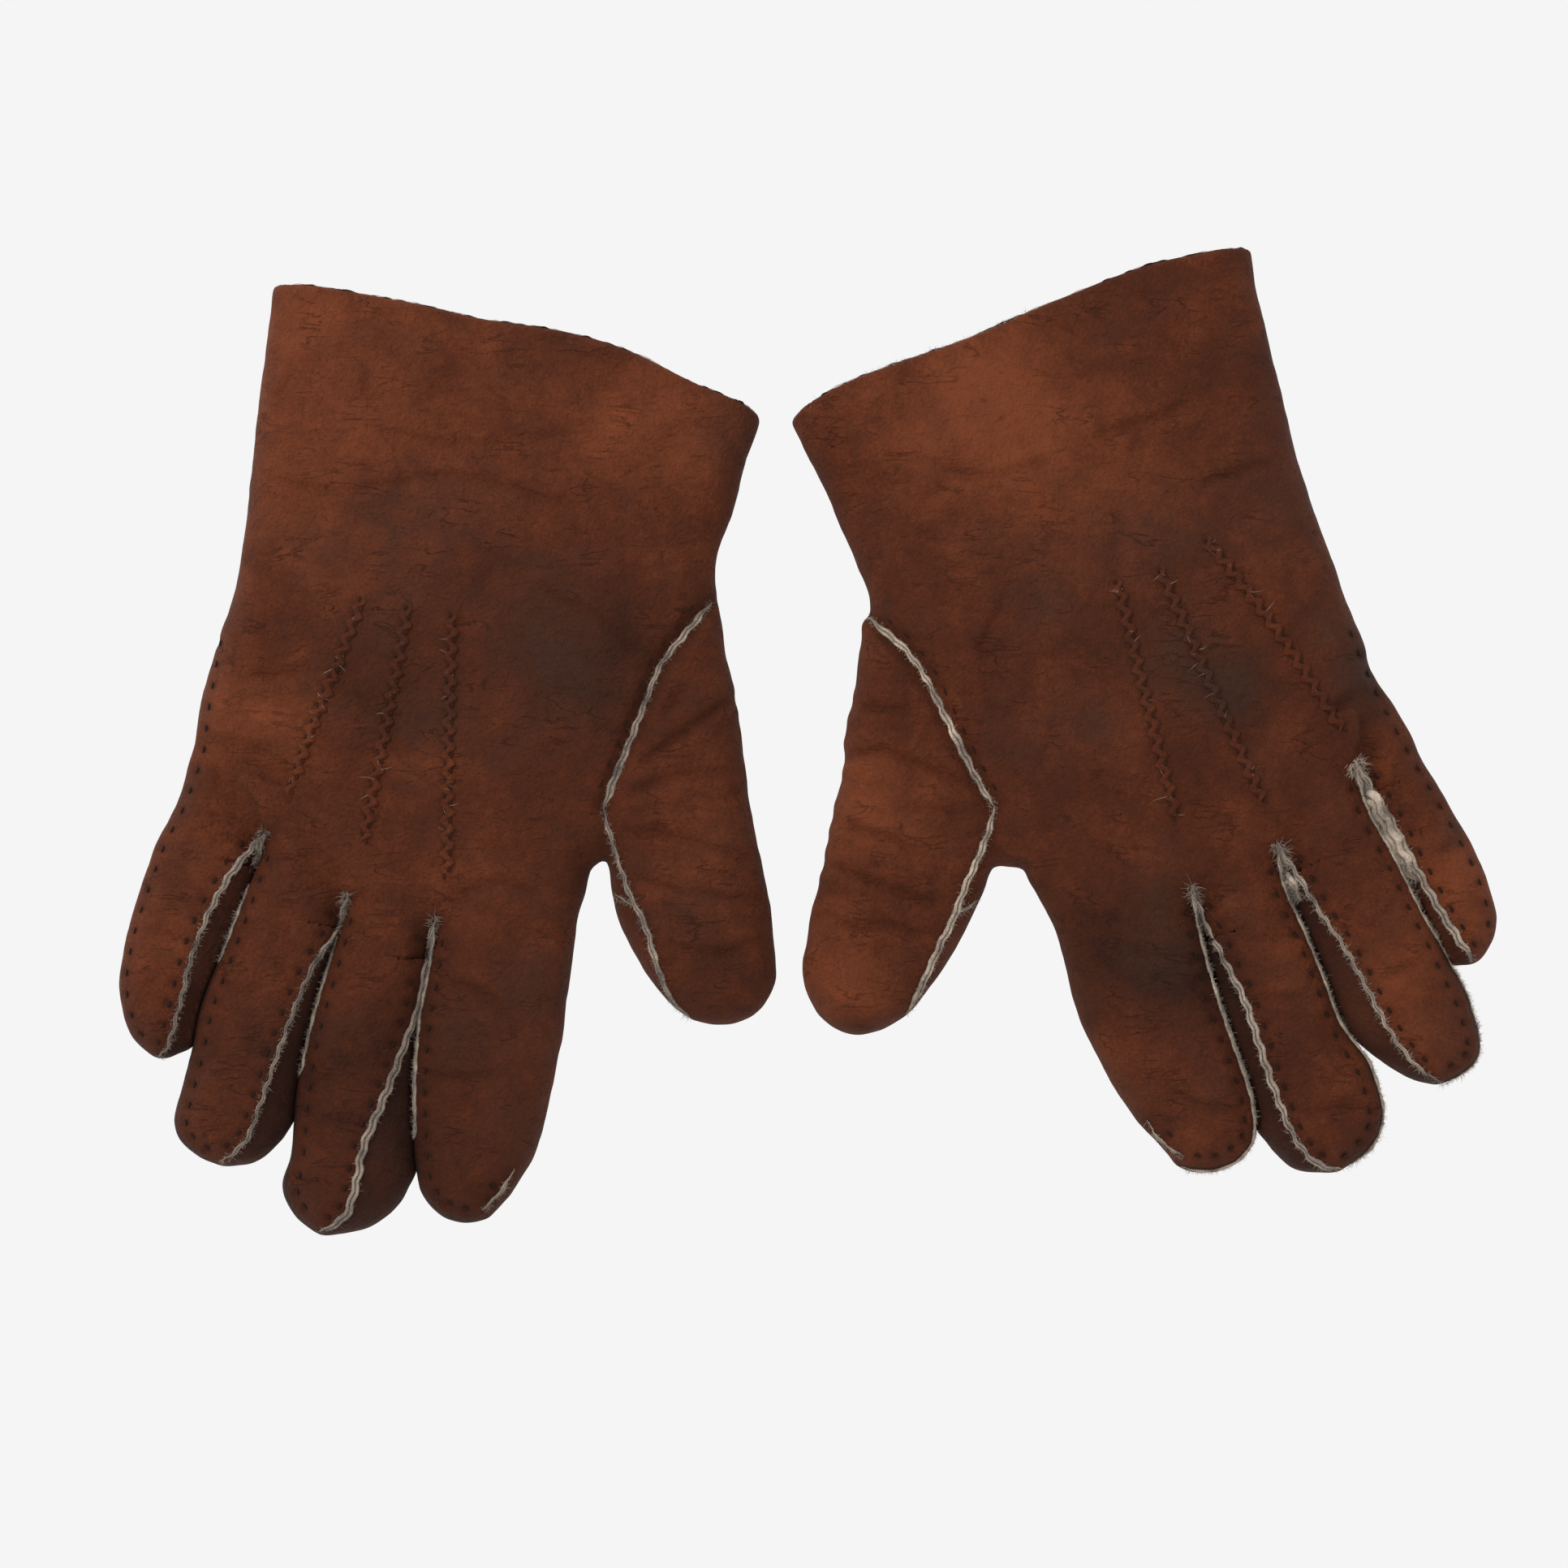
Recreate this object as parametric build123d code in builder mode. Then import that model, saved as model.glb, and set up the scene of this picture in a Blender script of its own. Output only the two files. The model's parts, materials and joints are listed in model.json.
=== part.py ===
"""A pair of men's shearling gloves, lying palm down with the fingers pointing to -Y.

Each glove is a set of leather panels with a raised outseam, lined with its own fleece:
a trank (back and palm), a thumb with a gusset, fourchettes between the fingers and three
stitched points on the back. Each finger bends at its middle crease and the thumb at its seam.
"""

import os
from math import hypot, radians, tan

from build123d import *

# Thicknesses of an empty glove lying flat
HAND_HEIGHT = 22.0
LITTLE_HEIGHT = 18.0
LEATHER = 1.5
FLEECE = 4.0
EDGE_ROUND = 0.43  # rounding of a closed edge, as a share of the height there

# Motion allowed for in the shape
JOINT_GAP = 0.8
FINGER_FLEX = 60.0
FINGER_EXTEND = 10.0
THUMB_FLEX = 45.0
THUMB_EXTEND = 10.0

# Fourchettes: strips in the facing sides of the fingers
FORK_ROOT_WIDTH = 11.0
FORK_TIP_WIDTH = 5.0
FORK_INSET = 2.0  # from the finger's centre line to the strip's end at the fingertip

# Points: the three stitched ridges on the back
POINT_PITCH = 4.0
POINT_SWING = 1.2
POINT_WIDTH = 1.5
POINT_RISE = 1.0

# Seam thread: short saddle stitches lying on the leather
STITCH_LENGTH = 2.6
STITCH_WIDTH = 0.8
STITCH_PITCH = 5.0
STITCH_PROUD = 0.5
THUMB_STITCH_INSET = 4.0  # from the thumb's seam to the row of stitches beside it
THUMB_STITCH_START = 12.0  # the row starts this far along the seam, where the back is flat

# The gusset that closes the hand beyond the thumb's seam, in the web towards the index finger
GUSSET_START = 5.5
GUSSET_LENGTH = 14.0
GUSSET_INSET = 2.2  # from the line of the thumb's seam to the middle of the gusset

FAR = 300.0  # reaches past the whole glove
MARGIN = 5.0  # how far cutting blocks pass above and below

FINGERS = ("index", "middle", "ring", "little")
TWO_SIDED = ("middle", "ring")

# Plan shapes: a finger is the hull of circles (x, y, radius) from its root to its tip, and the
# second circle's centre is on its bending crease. The palm is a polyline with corner radii.
# The thumb's crease runs from the wrist end of its seam to the web.
RIGHT = {
    "cuff_edge": [
        (-150, 122.5),
        (-142, 121.5),
        (-115, 118),
        (-87, 112),
        (-60, 107),
        (-38, 99),
        (-13, 88),
        (-4, 83),
    ],
    "palm": [
        ((-139.5, 140), 12),
        ((-3.5, 114), 12),
        ((-26, 38), 12),
        ((-10, 8), 14),
        ((-32, -32), 12),
        ((-60, -44), 12),
        ((-98.5, -47), 30),
        ((-121.5, -41), 30),
        ((-143.5, -24), 12),
        ((-164, -22), 10),
        ((-161, 10), 40),
        ((-152, 40), 60),
        ((-146, 80), 80),
    ],
    "index": [(-79.5, -40, 18.0), (-83.2, -72, 18.1), (-88.5, -110, 16.4)],
    "middle": [(-109.3, -34, 10.8), (-116.6, -69, 11.6), (-121.9, -114.6, 15.8)],
    "ring": [(-132.2, -28, 11.8), (-142.6, -58, 12.3), (-153.2, -96.7, 14.8)],
    "little": [(-154.5, -12, 11.0), (-164.3, -42, 11.8), (-172.5, -72.7, 10.4)],
    "thumb": [(-33.7, 25.4, 10), (-51, -12.8, 10.5), (-32.5, -34, 19.5), (-24.5, -58.5, 16.3)],
    "thumb_seam": [(-25.5, 36), (-54, -18)],
    "points": [[(-117, 38), (-137, -15)], [(-105, 36), (-117, -27)], [(-93.5, 34), (-95, -36)]],
    "side_seam": [(-152, 40), (-161, 10)],
}
LEFT = {
    "cuff_edge": [
        (-12, 81),
        (-4, 87),
        (10, 95),
        (40, 106),
        (70, 118.5),
        (100, 128.3),
        (117.5, 130.5),
        (126, 130.8),
    ],
    "palm": [
        ((-14, 105), 12),
        ((112, 152), 12),
        ((125, 95), 100),
        ((135, 60), 60),
        ((149, 25), 60),
        ((158, 2), 10),
        ((144, -5), 8),
        ((123.5, -27), 30),
        ((101, -38), 30),
        ((62, -45), 12),
        ((32, -36), 12),
        ((3, 6), 14),
        ((16.5, 35), 12),
    ],
    "index": [(79.5, -34, 18.3), (88.3, -62, 18.6), (103.2, -97.7, 15.4)],
    "middle": [(109.5, -25, 12.0), (122.3, -60, 12.8), (136.7, -99, 15.4)],
    "ring": [(132, -12, 12.5), (144.1, -41, 12.8), (162.8, -76.3, 14.0)],
    "little": [(151.5, 2, 8.6), (162.2, -22, 8.9), (174.8, -48.5, 8.1)],
    "thumb": [(24.5, 23.7, 10), (46.4, -10.9, 10.5), (26, -33, 21), (14, -62, 16)],
    "thumb_seam": [(16, 32), (49, -16)],
    "points": [[(81, 43), (97, -21)], [(92, 46), (120, -17)], [(104, 54), (141, 2)]],
    "side_seam": [(135, 60), (149, 25)],
}
GLOVES = {"right": RIGHT, "left": LEFT}

# Layers of a glove: how far each surface lies inside the leather's outer face
OUTSIDE, UNDER_LEATHER, CAVITY = 0.0, LEATHER, LEATHER + FLEECE


def unit(start, end):
    """Direction in the plan from start to end."""
    length = hypot(end[0] - start[0], end[1] - start[1])
    return ((end[0] - start[0]) / length, (end[1] - start[1]) / length)


def height_of(finger):
    """Height of a finger lying flat."""
    return LITTLE_HEIGHT if finger == "little" else HAND_HEIGHT


def crease(glove, finger):
    """A finger's bending crease: its centre, the way the fingertip lies, and its height."""
    _, bend, tip = glove[finger]
    return (*bend[:2], height_of(finger) / 2), unit(bend, tip)


def thumb_crease(glove):
    """The thumb's crease: a point on it and the way the thumb lies, square to the seam."""
    wrist, web = glove["thumb_seam"]
    along = unit(wrist, web)
    tip = glove["thumb"][-1]
    across = along[0] * (tip[1] - wrist[1]) - along[1] * (tip[0] - wrist[0])
    outwards = (-along[1], along[0]) if across > 0 else (along[1], -along[0])
    middle = ((wrist[0] + web[0]) / 2, (wrist[1] + web[1]) / 2)
    return (*middle, HAND_HEIGHT / 2), outwards


def digit_shape(circles, height, inset):
    """Rounded solid over the hull of a digit's circles, its faces inset from the outside."""
    thick = height - 2 * inset
    with BuildPart() as digit:
        with BuildSketch(Plane.XY.offset(inset)) as plan:
            for x, y, radius in circles:
                with Locations((x, y)):
                    Circle(radius - inset)
            make_hull(plan.edges())
        extrude(amount=thick)
        fillet(digit.faces().filter_by(Axis.Z).edges(), EDGE_ROUND * thick)
    return digit.part


def palm_shape(corners, inset):
    """Rounded solid over the palm and cuff, its faces inset from the outside."""
    thick = HAND_HEIGHT - 2 * inset
    with BuildPart() as palm:
        with BuildSketch(Plane.XY.offset(inset)) as plan:
            with BuildLine():
                FilletPolyline(*[p for p, _ in corners], radius=[r for _, r in corners], close=True)
            make_face()
            if inset:
                offset(amount=-inset, mode=Mode.REPLACE)
        extrude(amount=thick)
        fillet(palm.faces().filter_by(Axis.Z).edges(), EDGE_ROUND * thick)
    return palm.part


def bevel_block(pivot, outwards, flex, extend, side):
    """Everything on one side of a crease: side +1 is the digit's, -1 the hand's. Its face leans
    back from the pivot by half the travel below and above, so that the two sides never meet."""
    top, bottom = HAND_HEIGHT + MARGIN - pivot[2], pivot[2] + MARGIN
    near = side * JOINT_GAP / 2
    with BuildPart() as block:
        plane = Plane(origin=pivot, x_dir=(*outwards, 0), z_dir=(outwards[1], -outwards[0], 0))
        with BuildSketch(plane):
            with BuildLine():
                Polyline(
                    (near, 0),
                    (near + side * bottom * tan(radians(flex / 2)), -bottom),
                    (side * FAR, -bottom),
                    (side * FAR, top),
                    (near + side * top * tan(radians(extend / 2)), top),
                    close=True,
                )
            make_face()
        extrude(amount=FAR, both=True)
    return block.part


def glove_side_of_cuff(edge):
    """Everything on the hand's side of the cuff's edge."""
    first, last = edge[0], edge[-1]
    with BuildPart() as block:
        with BuildSketch(Plane.XY.offset(-MARGIN)):
            with BuildLine():
                Spline(*edge)
                Polyline(
                    last,
                    (last[0] + FAR, last[1]),
                    (last[0] + FAR, -FAR),
                    (first[0] - FAR, -FAR),
                    (first[0] - FAR, first[1]),
                    first,
                )
            make_face()
        extrude(amount=HAND_HEIGHT + 2 * MARGIN)
    return block.part


def fork_block(glove, finger, side):
    """The strip of a finger's side wall that a fourchette fills. side is +1 or -1 across it."""
    pivot, outwards = crease(glove, finger)
    _, bend, tip = glove[finger]
    to_tip = hypot(tip[0] - bend[0], tip[1] - bend[1]) + tip[2]
    across = (outwards[1], -outwards[0], 0)
    start = tuple(pivot[i] + side * FORK_INSET * across[i] for i in range(3))
    with BuildPart() as block:
        with BuildSketch(Plane(origin=start, x_dir=(*outwards, 0), z_dir=across)):
            with BuildLine():
                Polyline(
                    (-to_tip, FORK_ROOT_WIDTH / 2),
                    (0, FORK_ROOT_WIDTH / 2),
                    (to_tip, FORK_TIP_WIDTH / 2),
                    (to_tip, -FORK_TIP_WIDTH / 2),
                    (0, -FORK_ROOT_WIDTH / 2),
                    (-to_tip, -FORK_ROOT_WIDTH / 2),
                    close=True,
                )
            make_face()
        extrude(amount=side * 2 * HAND_HEIGHT)
    return block.part


def fork_sides(glove, finger):
    """Which sides of a finger face another finger, as +1 or -1 across it."""
    if finger in TWO_SIDED:
        return (1, -1)
    outwards = crease(glove, finger)[1]
    neighbour = "middle" if finger == "index" else "ring"
    towards = glove[neighbour][1][0] - glove[finger][1][0]
    return (1,) if outwards[1] * towards > 0 else (-1,)


def fork_strip(outside, under_leather, beyond, fork):
    """One fourchette's length on one side of a crease."""
    with BuildPart() as strip:
        add(outside)
        add(under_leather, mode=Mode.SUBTRACT)
        add(beyond, mode=Mode.INTERSECT)
        add(fork, mode=Mode.INTERSECT)
    return strip.part


def write(part, name):
    """Labels a finished sub-part and writes it."""
    part.label = name
    export_step(part, f"parts/{name}.step")


def build_finger(hand, glove, finger):
    """The free end of a finger: its back and palm panels, fourchettes and fleece."""
    circles, height = glove[finger], height_of(finger)
    pivot, outwards = crease(glove, finger)
    beyond = bevel_block(pivot, outwards, FINGER_FLEX, FINGER_EXTEND, 1)
    outside = digit_shape(circles, height, OUTSIDE)
    under_leather = digit_shape(circles, height, UNDER_LEATHER)
    cavity = digit_shape(circles, height, CAVITY)
    forks = [fork_block(glove, finger, side) for side in fork_sides(glove, finger)]

    with BuildPart() as back:
        add(outside)
        add(under_leather, mode=Mode.SUBTRACT)
        add(beyond, mode=Mode.INTERSECT)
        add(forks, mode=Mode.SUBTRACT)
        split(bisect_by=Plane.XY.offset(height / 2), keep=Keep.TOP)
    write(back.part, f"{hand}_{finger}_back")

    with BuildPart() as palm:
        add(outside)
        add(under_leather, mode=Mode.SUBTRACT)
        add(beyond, mode=Mode.INTERSECT)
        add(forks, mode=Mode.SUBTRACT)
        split(bisect_by=Plane.XY.offset(height / 2), keep=Keep.BOTTOM)
    write(palm.part, f"{hand}_{finger}_palm")

    strips = [fork_strip(outside, under_leather, beyond, fork) for fork in forks]
    with BuildPart() as fourchettes:
        add(strips)
    write(fourchettes.part, f"{hand}_{finger}_fourchettes")

    with BuildPart() as fleece:
        add(under_leather)
        add(cavity, mode=Mode.SUBTRACT)
        add(beyond, mode=Mode.INTERSECT)
    write(fleece.part, f"{hand}_{finger}_fleece")


def hand_layer(glove, inset):
    """The palm and the roots of the fingers as one solid. The fingers stop at their creases."""
    thumb_pivot, thumb_way = thumb_crease(glove)
    with BuildPart() as layer:
        add(palm_shape(glove["palm"], inset))
        add(bevel_block(thumb_pivot, thumb_way, THUMB_FLEX, THUMB_EXTEND, -1), mode=Mode.INTERSECT)
        for finger in FINGERS:
            add(finger_root(glove, finger, inset))
        add(glove_side_of_cuff(glove["cuff_edge"]), mode=Mode.INTERSECT)
    return layer.part


def hand_side(glove, finger):
    """Everything on the hand's side of a finger's crease."""
    pivot, outwards = crease(glove, finger)
    return bevel_block(pivot, outwards, FINGER_FLEX, FINGER_EXTEND, -1)


def finger_root(glove, finger, inset):
    """A finger's length between the palm and its crease."""
    with BuildPart() as root:
        add(digit_shape(glove[finger], height_of(finger), inset))
        add(hand_side(glove, finger), mode=Mode.INTERSECT)
    return root.part


def hollows(glove, inset):
    """The spaces inside a layer. They run on past every crease and past the cuff, to open them."""
    digits = [digit_shape(glove[finger], height_of(finger), inset) for finger in FINGERS]
    return [palm_shape(glove["palm"], inset), *digits]


def carve(layer, spaces, keep):
    """A layer without the spaces inside it, and only its half above or below mid height."""
    with BuildPart() as shell:
        add(layer)
        for space in spaces:
            add(space, mode=Mode.SUBTRACT)
        split(bisect_by=Plane.XY.offset(HAND_HEIGHT / 2), keep=keep)
    return shell.part


def fork_root(glove, finger, side, palm, spaces):
    """A fourchette's length between the fingers' roots, from the crotch to the crease."""
    height = height_of(finger)
    strip = fork_strip(
        digit_shape(glove[finger], height, OUTSIDE),
        digit_shape(glove[finger], height, UNDER_LEATHER),
        hand_side(glove, finger),
        fork_block(glove, finger, side),
    )
    with BuildPart() as root:
        add(strip)
        add(palm, mode=Mode.SUBTRACT)
        for space in spaces:
            add(space, mode=Mode.SUBTRACT)
    return root.part


def build_hand(hand, glove):
    """Palm, back, cuff and the roots of the fingers: two leather panels and their fleece."""
    outside = hand_layer(glove, OUTSIDE)
    under_leather = hollows(glove, UNDER_LEATHER)
    fleece_outside = hand_layer(glove, UNDER_LEATHER)
    cavity = hollows(glove, CAVITY)

    palm = palm_shape(glove["palm"], OUTSIDE)
    sides = [(finger, side) for finger in FINGERS for side in fork_sides(glove, finger)]
    strips = [fork_root(glove, finger, side, palm, under_leather) for finger, side in sides]
    with BuildPart() as fork_roots:
        for strip in strips:
            add(strip)
    write(fork_roots.part, f"{hand}_fourchette_roots")

    write(carve(outside, under_leather + strips, Keep.TOP), f"{hand}_trank_back")
    write(carve(outside, under_leather + strips, Keep.BOTTOM), f"{hand}_trank_palm")
    write(carve(fleece_outside, cavity, Keep.TOP), f"{hand}_back_fleece")
    write(carve(fleece_outside, cavity, Keep.BOTTOM), f"{hand}_palm_fleece")


def build_thumb(hand, glove):
    """The thumb's two panels and its fleece, open towards the hand."""
    pivot, outwards = thumb_crease(glove)
    beyond = bevel_block(pivot, outwards, THUMB_FLEX, THUMB_EXTEND, 1)
    outside = digit_shape(glove["thumb"], HAND_HEIGHT, OUTSIDE)
    under_leather = digit_shape(glove["thumb"], HAND_HEIGHT, UNDER_LEATHER)
    cavity = digit_shape(glove["thumb"], HAND_HEIGHT, CAVITY)
    middle = Plane.XY.offset(HAND_HEIGHT / 2)

    with BuildPart() as back:
        add(outside)
        add(under_leather, mode=Mode.SUBTRACT)
        add(beyond, mode=Mode.INTERSECT)
        split(bisect_by=middle, keep=Keep.TOP)
    write(back.part, f"{hand}_thumb_back")

    with BuildPart() as palm:
        add(outside)
        add(under_leather, mode=Mode.SUBTRACT)
        add(beyond, mode=Mode.INTERSECT)
        split(bisect_by=middle, keep=Keep.BOTTOM)
    write(palm.part, f"{hand}_thumb_palm")

    with BuildPart() as fleece:
        add(under_leather)
        add(cavity, mode=Mode.SUBTRACT)
        add(beyond, mode=Mode.INTERSECT)
    write(fleece.part, f"{hand}_thumb_fleece")


def build_points(hand, glove):
    """The three ridges on the back, each a zigzag of gathered leather and thread."""
    with BuildPart() as points:
        for start, end in glove["points"]:
            way = unit(start, end)
            turns = int(hypot(end[0] - start[0], end[1] - start[1]) / POINT_PITCH * 2)
            step = hypot(end[0] - start[0], end[1] - start[1]) / turns
            swings = [(i * step, POINT_SWING * (1 if i % 2 else -1)) for i in range(turns + 1)]
            with BuildSketch(Plane(origin=(*start, HAND_HEIGHT), x_dir=(*way, 0), z_dir=(0, 0, 1))):
                with BuildLine():
                    Polyline(*swings)
                trace(line_width=POINT_WIDTH)
            extrude(amount=POINT_RISE)
    write(points.part, f"{hand}_points")


def stitch_row(start, end, outwards, inset, height):
    """Places for a row of stitches beside a seam: origin and direction of each."""
    way = unit(start, end)
    length = hypot(end[0] - start[0], end[1] - start[1])
    count = int((length - 2 * STITCH_PITCH) / STITCH_PITCH)
    places = []
    for i in range(count + 1):
        along = STITCH_PITCH * (i + 1)
        x = start[0] + way[0] * along + outwards[0] * inset
        y = start[1] + way[1] * along + outwards[1] * inset
        places.append(Plane(origin=(x, y, height), x_dir=(*way, 0), z_dir=(0, 0, 1)))
    return places


def build_gusset(hand, glove):
    """The small leather piece in the web of the thumb, between the back and palm fleece."""
    wrist, web = glove["thumb_seam"]
    pivot, outwards = thumb_crease(glove)
    along = unit(wrist, web)
    reach = GUSSET_START + GUSSET_LENGTH / 2
    x = web[0] + along[0] * reach - outwards[0] * GUSSET_INSET
    y = web[1] + along[1] * reach - outwards[1] * GUSSET_INSET
    place = Plane(origin=(x, y, HAND_HEIGHT / 2), x_dir=(*along, 0), z_dir=(0, 0, 1))
    with BuildPart() as gusset:
        with Locations(place):
            Box(GUSSET_LENGTH, LEATHER, HAND_HEIGHT)
        add(palm_shape(glove["palm"], CAVITY), mode=Mode.INTERSECT)
        add(bevel_block(pivot, outwards, THUMB_FLEX, THUMB_EXTEND, -1), mode=Mode.INTERSECT)
    write(gusset.part, f"{hand}_thumb_gusset")


def build_stitches(hand, glove):
    """Saddle stitches beside the thumb's seam and along the side seam."""
    wrist, web = glove["thumb_seam"]
    thumb_along, thumb_way = unit(wrist, web), thumb_crease(glove)[1]
    first = tuple(wrist[i] + THUMB_STITCH_START * thumb_along[i] for i in range(2))
    thumb_row = stitch_row(first, web, thumb_way, -THUMB_STITCH_INSET, HAND_HEIGHT)
    side_row = stitch_row(*glove["side_seam"], (0, 0), 0, HAND_HEIGHT / 2)
    with BuildPart() as stitches:
        with Locations(*thumb_row):
            Box(STITCH_LENGTH, STITCH_WIDTH, 2 * STITCH_PROUD)
        with Locations(*side_row):
            Box(STITCH_LENGTH, 2 * STITCH_PROUD, STITCH_WIDTH)
        add(palm_shape(glove["palm"], OUTSIDE), mode=Mode.SUBTRACT)
    write(stitches.part, f"{hand}_stitches")


os.makedirs("parts", exist_ok=True)
for hand, glove in GLOVES.items():
    build_hand(hand, glove)
    build_thumb(hand, glove)
    build_gusset(hand, glove)
    for finger in FINGERS:
        build_finger(hand, glove, finger)
    build_points(hand, glove)
    build_stitches(hand, glove)
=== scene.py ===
"""A pair of shearling gloves lying flat: leather panels, fleece seam edges, points and saddle stitches."""
import json
import math

import bpy
import numpy as np
import openvdb as vdb
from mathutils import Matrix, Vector, noise
from mathutils.bvhtree import BVHTree


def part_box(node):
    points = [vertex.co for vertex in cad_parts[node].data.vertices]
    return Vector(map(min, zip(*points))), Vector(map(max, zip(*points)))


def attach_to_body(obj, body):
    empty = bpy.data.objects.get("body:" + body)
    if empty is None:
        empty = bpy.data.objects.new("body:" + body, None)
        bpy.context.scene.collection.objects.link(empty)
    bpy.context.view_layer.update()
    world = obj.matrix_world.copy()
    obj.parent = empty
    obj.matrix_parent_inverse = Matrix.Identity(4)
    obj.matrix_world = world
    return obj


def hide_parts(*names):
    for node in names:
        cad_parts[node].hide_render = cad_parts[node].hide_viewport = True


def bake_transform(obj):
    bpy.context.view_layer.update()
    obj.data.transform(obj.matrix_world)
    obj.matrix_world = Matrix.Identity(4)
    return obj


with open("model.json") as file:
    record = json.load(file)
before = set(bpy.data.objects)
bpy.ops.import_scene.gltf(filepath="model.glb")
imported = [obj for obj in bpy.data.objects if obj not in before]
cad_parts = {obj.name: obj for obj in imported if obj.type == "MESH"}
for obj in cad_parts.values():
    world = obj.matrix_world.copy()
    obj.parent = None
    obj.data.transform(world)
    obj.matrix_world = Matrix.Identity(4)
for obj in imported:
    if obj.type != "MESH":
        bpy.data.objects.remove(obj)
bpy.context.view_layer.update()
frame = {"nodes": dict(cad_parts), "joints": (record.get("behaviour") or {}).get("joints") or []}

# Lengths are in millimetres in the frame of the CAD part, up to the stage, where they are in metres.
FINGERS = ("index", "middle", "ring", "little")
NEIGHBOURS = (("little", "ring"), ("ring", "middle"), ("middle", "index"))
VOXEL = 0.8
BAND = 3.0            # how far the distance field is kept on each side of the skin
MARGIN = 5
SKIN_MARGIN = 6
MERGE_PER_MM = 500
LEVELS = (-2.0, 25.0)
TOP_LEVEL = 15
EDGE_RADIUS = 11.0
SLIT = 1.3            # gap between the fingers in the skin of the hand
TOUCH = -0.3          # gap between the finger skins: they just meet
ROOT_OFFSET = -13.0   # a finger's own skin starts this far from its hinge
PALM_HEIGHT = 20.0
CUFF_HEIGHT = 18.0
LITTLE_HEIGHT = 17.5
CROWN = 1.5
CROWN_REACH = 22
CUFF_SLOPE = 70
GROOVE_DEPTH = 3.2
GROOVE_WIDTH = 2.6
FINGER_BLEND = 4.0
THUMB_BLEND = 2.0
WALL = 5.3
LEATHER_DEPTH = 1.1
LINING_DEPTH = 62
LINING_SHOWN = -75
MOUTH_RADIUS = 9.0
SIDE_LEVEL = 5.5
WEB_LEVEL = 5.5
RAY_START = 40
RAY_LIMIT = 19
SAG = ((0.75, 24, 1), (0.35, 8.5, 2), (0.12, 3.2, 3))   # amount, wavelength, seed
SEAM_REACH = 7
SEAM_WIDTH = 2.2
CREASE_REACH = 9
CREASE_WIDTH = 1.3
LIP_ASIDE = 3.2
LIP_WIDTH = 2.0
LIP_HEIGHT = 0.4
DENT_REACH = 3
DENT_WIDTH = 1.3
DENT_DEPTH = 0.6
STITCH_PITCH = 5.7
STITCH_ASIDE = 2.6
STITCH_SIZE = (1.9, 0.8, 0.4)
FORK_LOW = 5
FORK_HIGH = 16
RIM_HIGH = 14.5
RIM_WIDTH = 2.5
ROOT_REACH = 30
GUSSET_END = -60
MOUTH_LEVELS = (4.0, 5.5, 12.5, 14.0)
FLEECE_STRIP = (10, 62)
RADIAL_WIDTH = 0.58
ULNAR_WIDTH = 0.52
TIP_WIDTH = 0.5
THUMB_WIDTHS = {"thumb_seam": 0.72, "thumb_side_seam": 0.56, "thumb_cross_seam": 0.5}
POINT_PITCH = 4.3
POINT_STEP = 0.4
POINT_WAVE = 0.85
POINT_HEIGHT = 0.85
PIT_SIZE = (1.3, 0.8, 0.35)
CROTCH_STEPS = 20
TUFT_STEPS = 10
# Hairs: number per mm of line, length, sideways spread and, where given, thickness.
SEAM_HAIRS = (14, 1.2, 1.0, 0.045)
THUMB_HAIRS = (14, 1.3, 1.0, 0.045)
CROTCH_HAIRS = (1.5, 1.5, 0.4)
STRAY_HAIRS = (1, 3.4, 1.6, 0.045)
CUFF_HAIRS = (6, 1.8, 0.8)
EDGE_HAIRS = (9, 1.3, 0.8)
STRAYS = 12
HAIR_CORNERS = (0, 2.094, 4.189)
SEEDS = {"right": 11, "left": 29}

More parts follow.
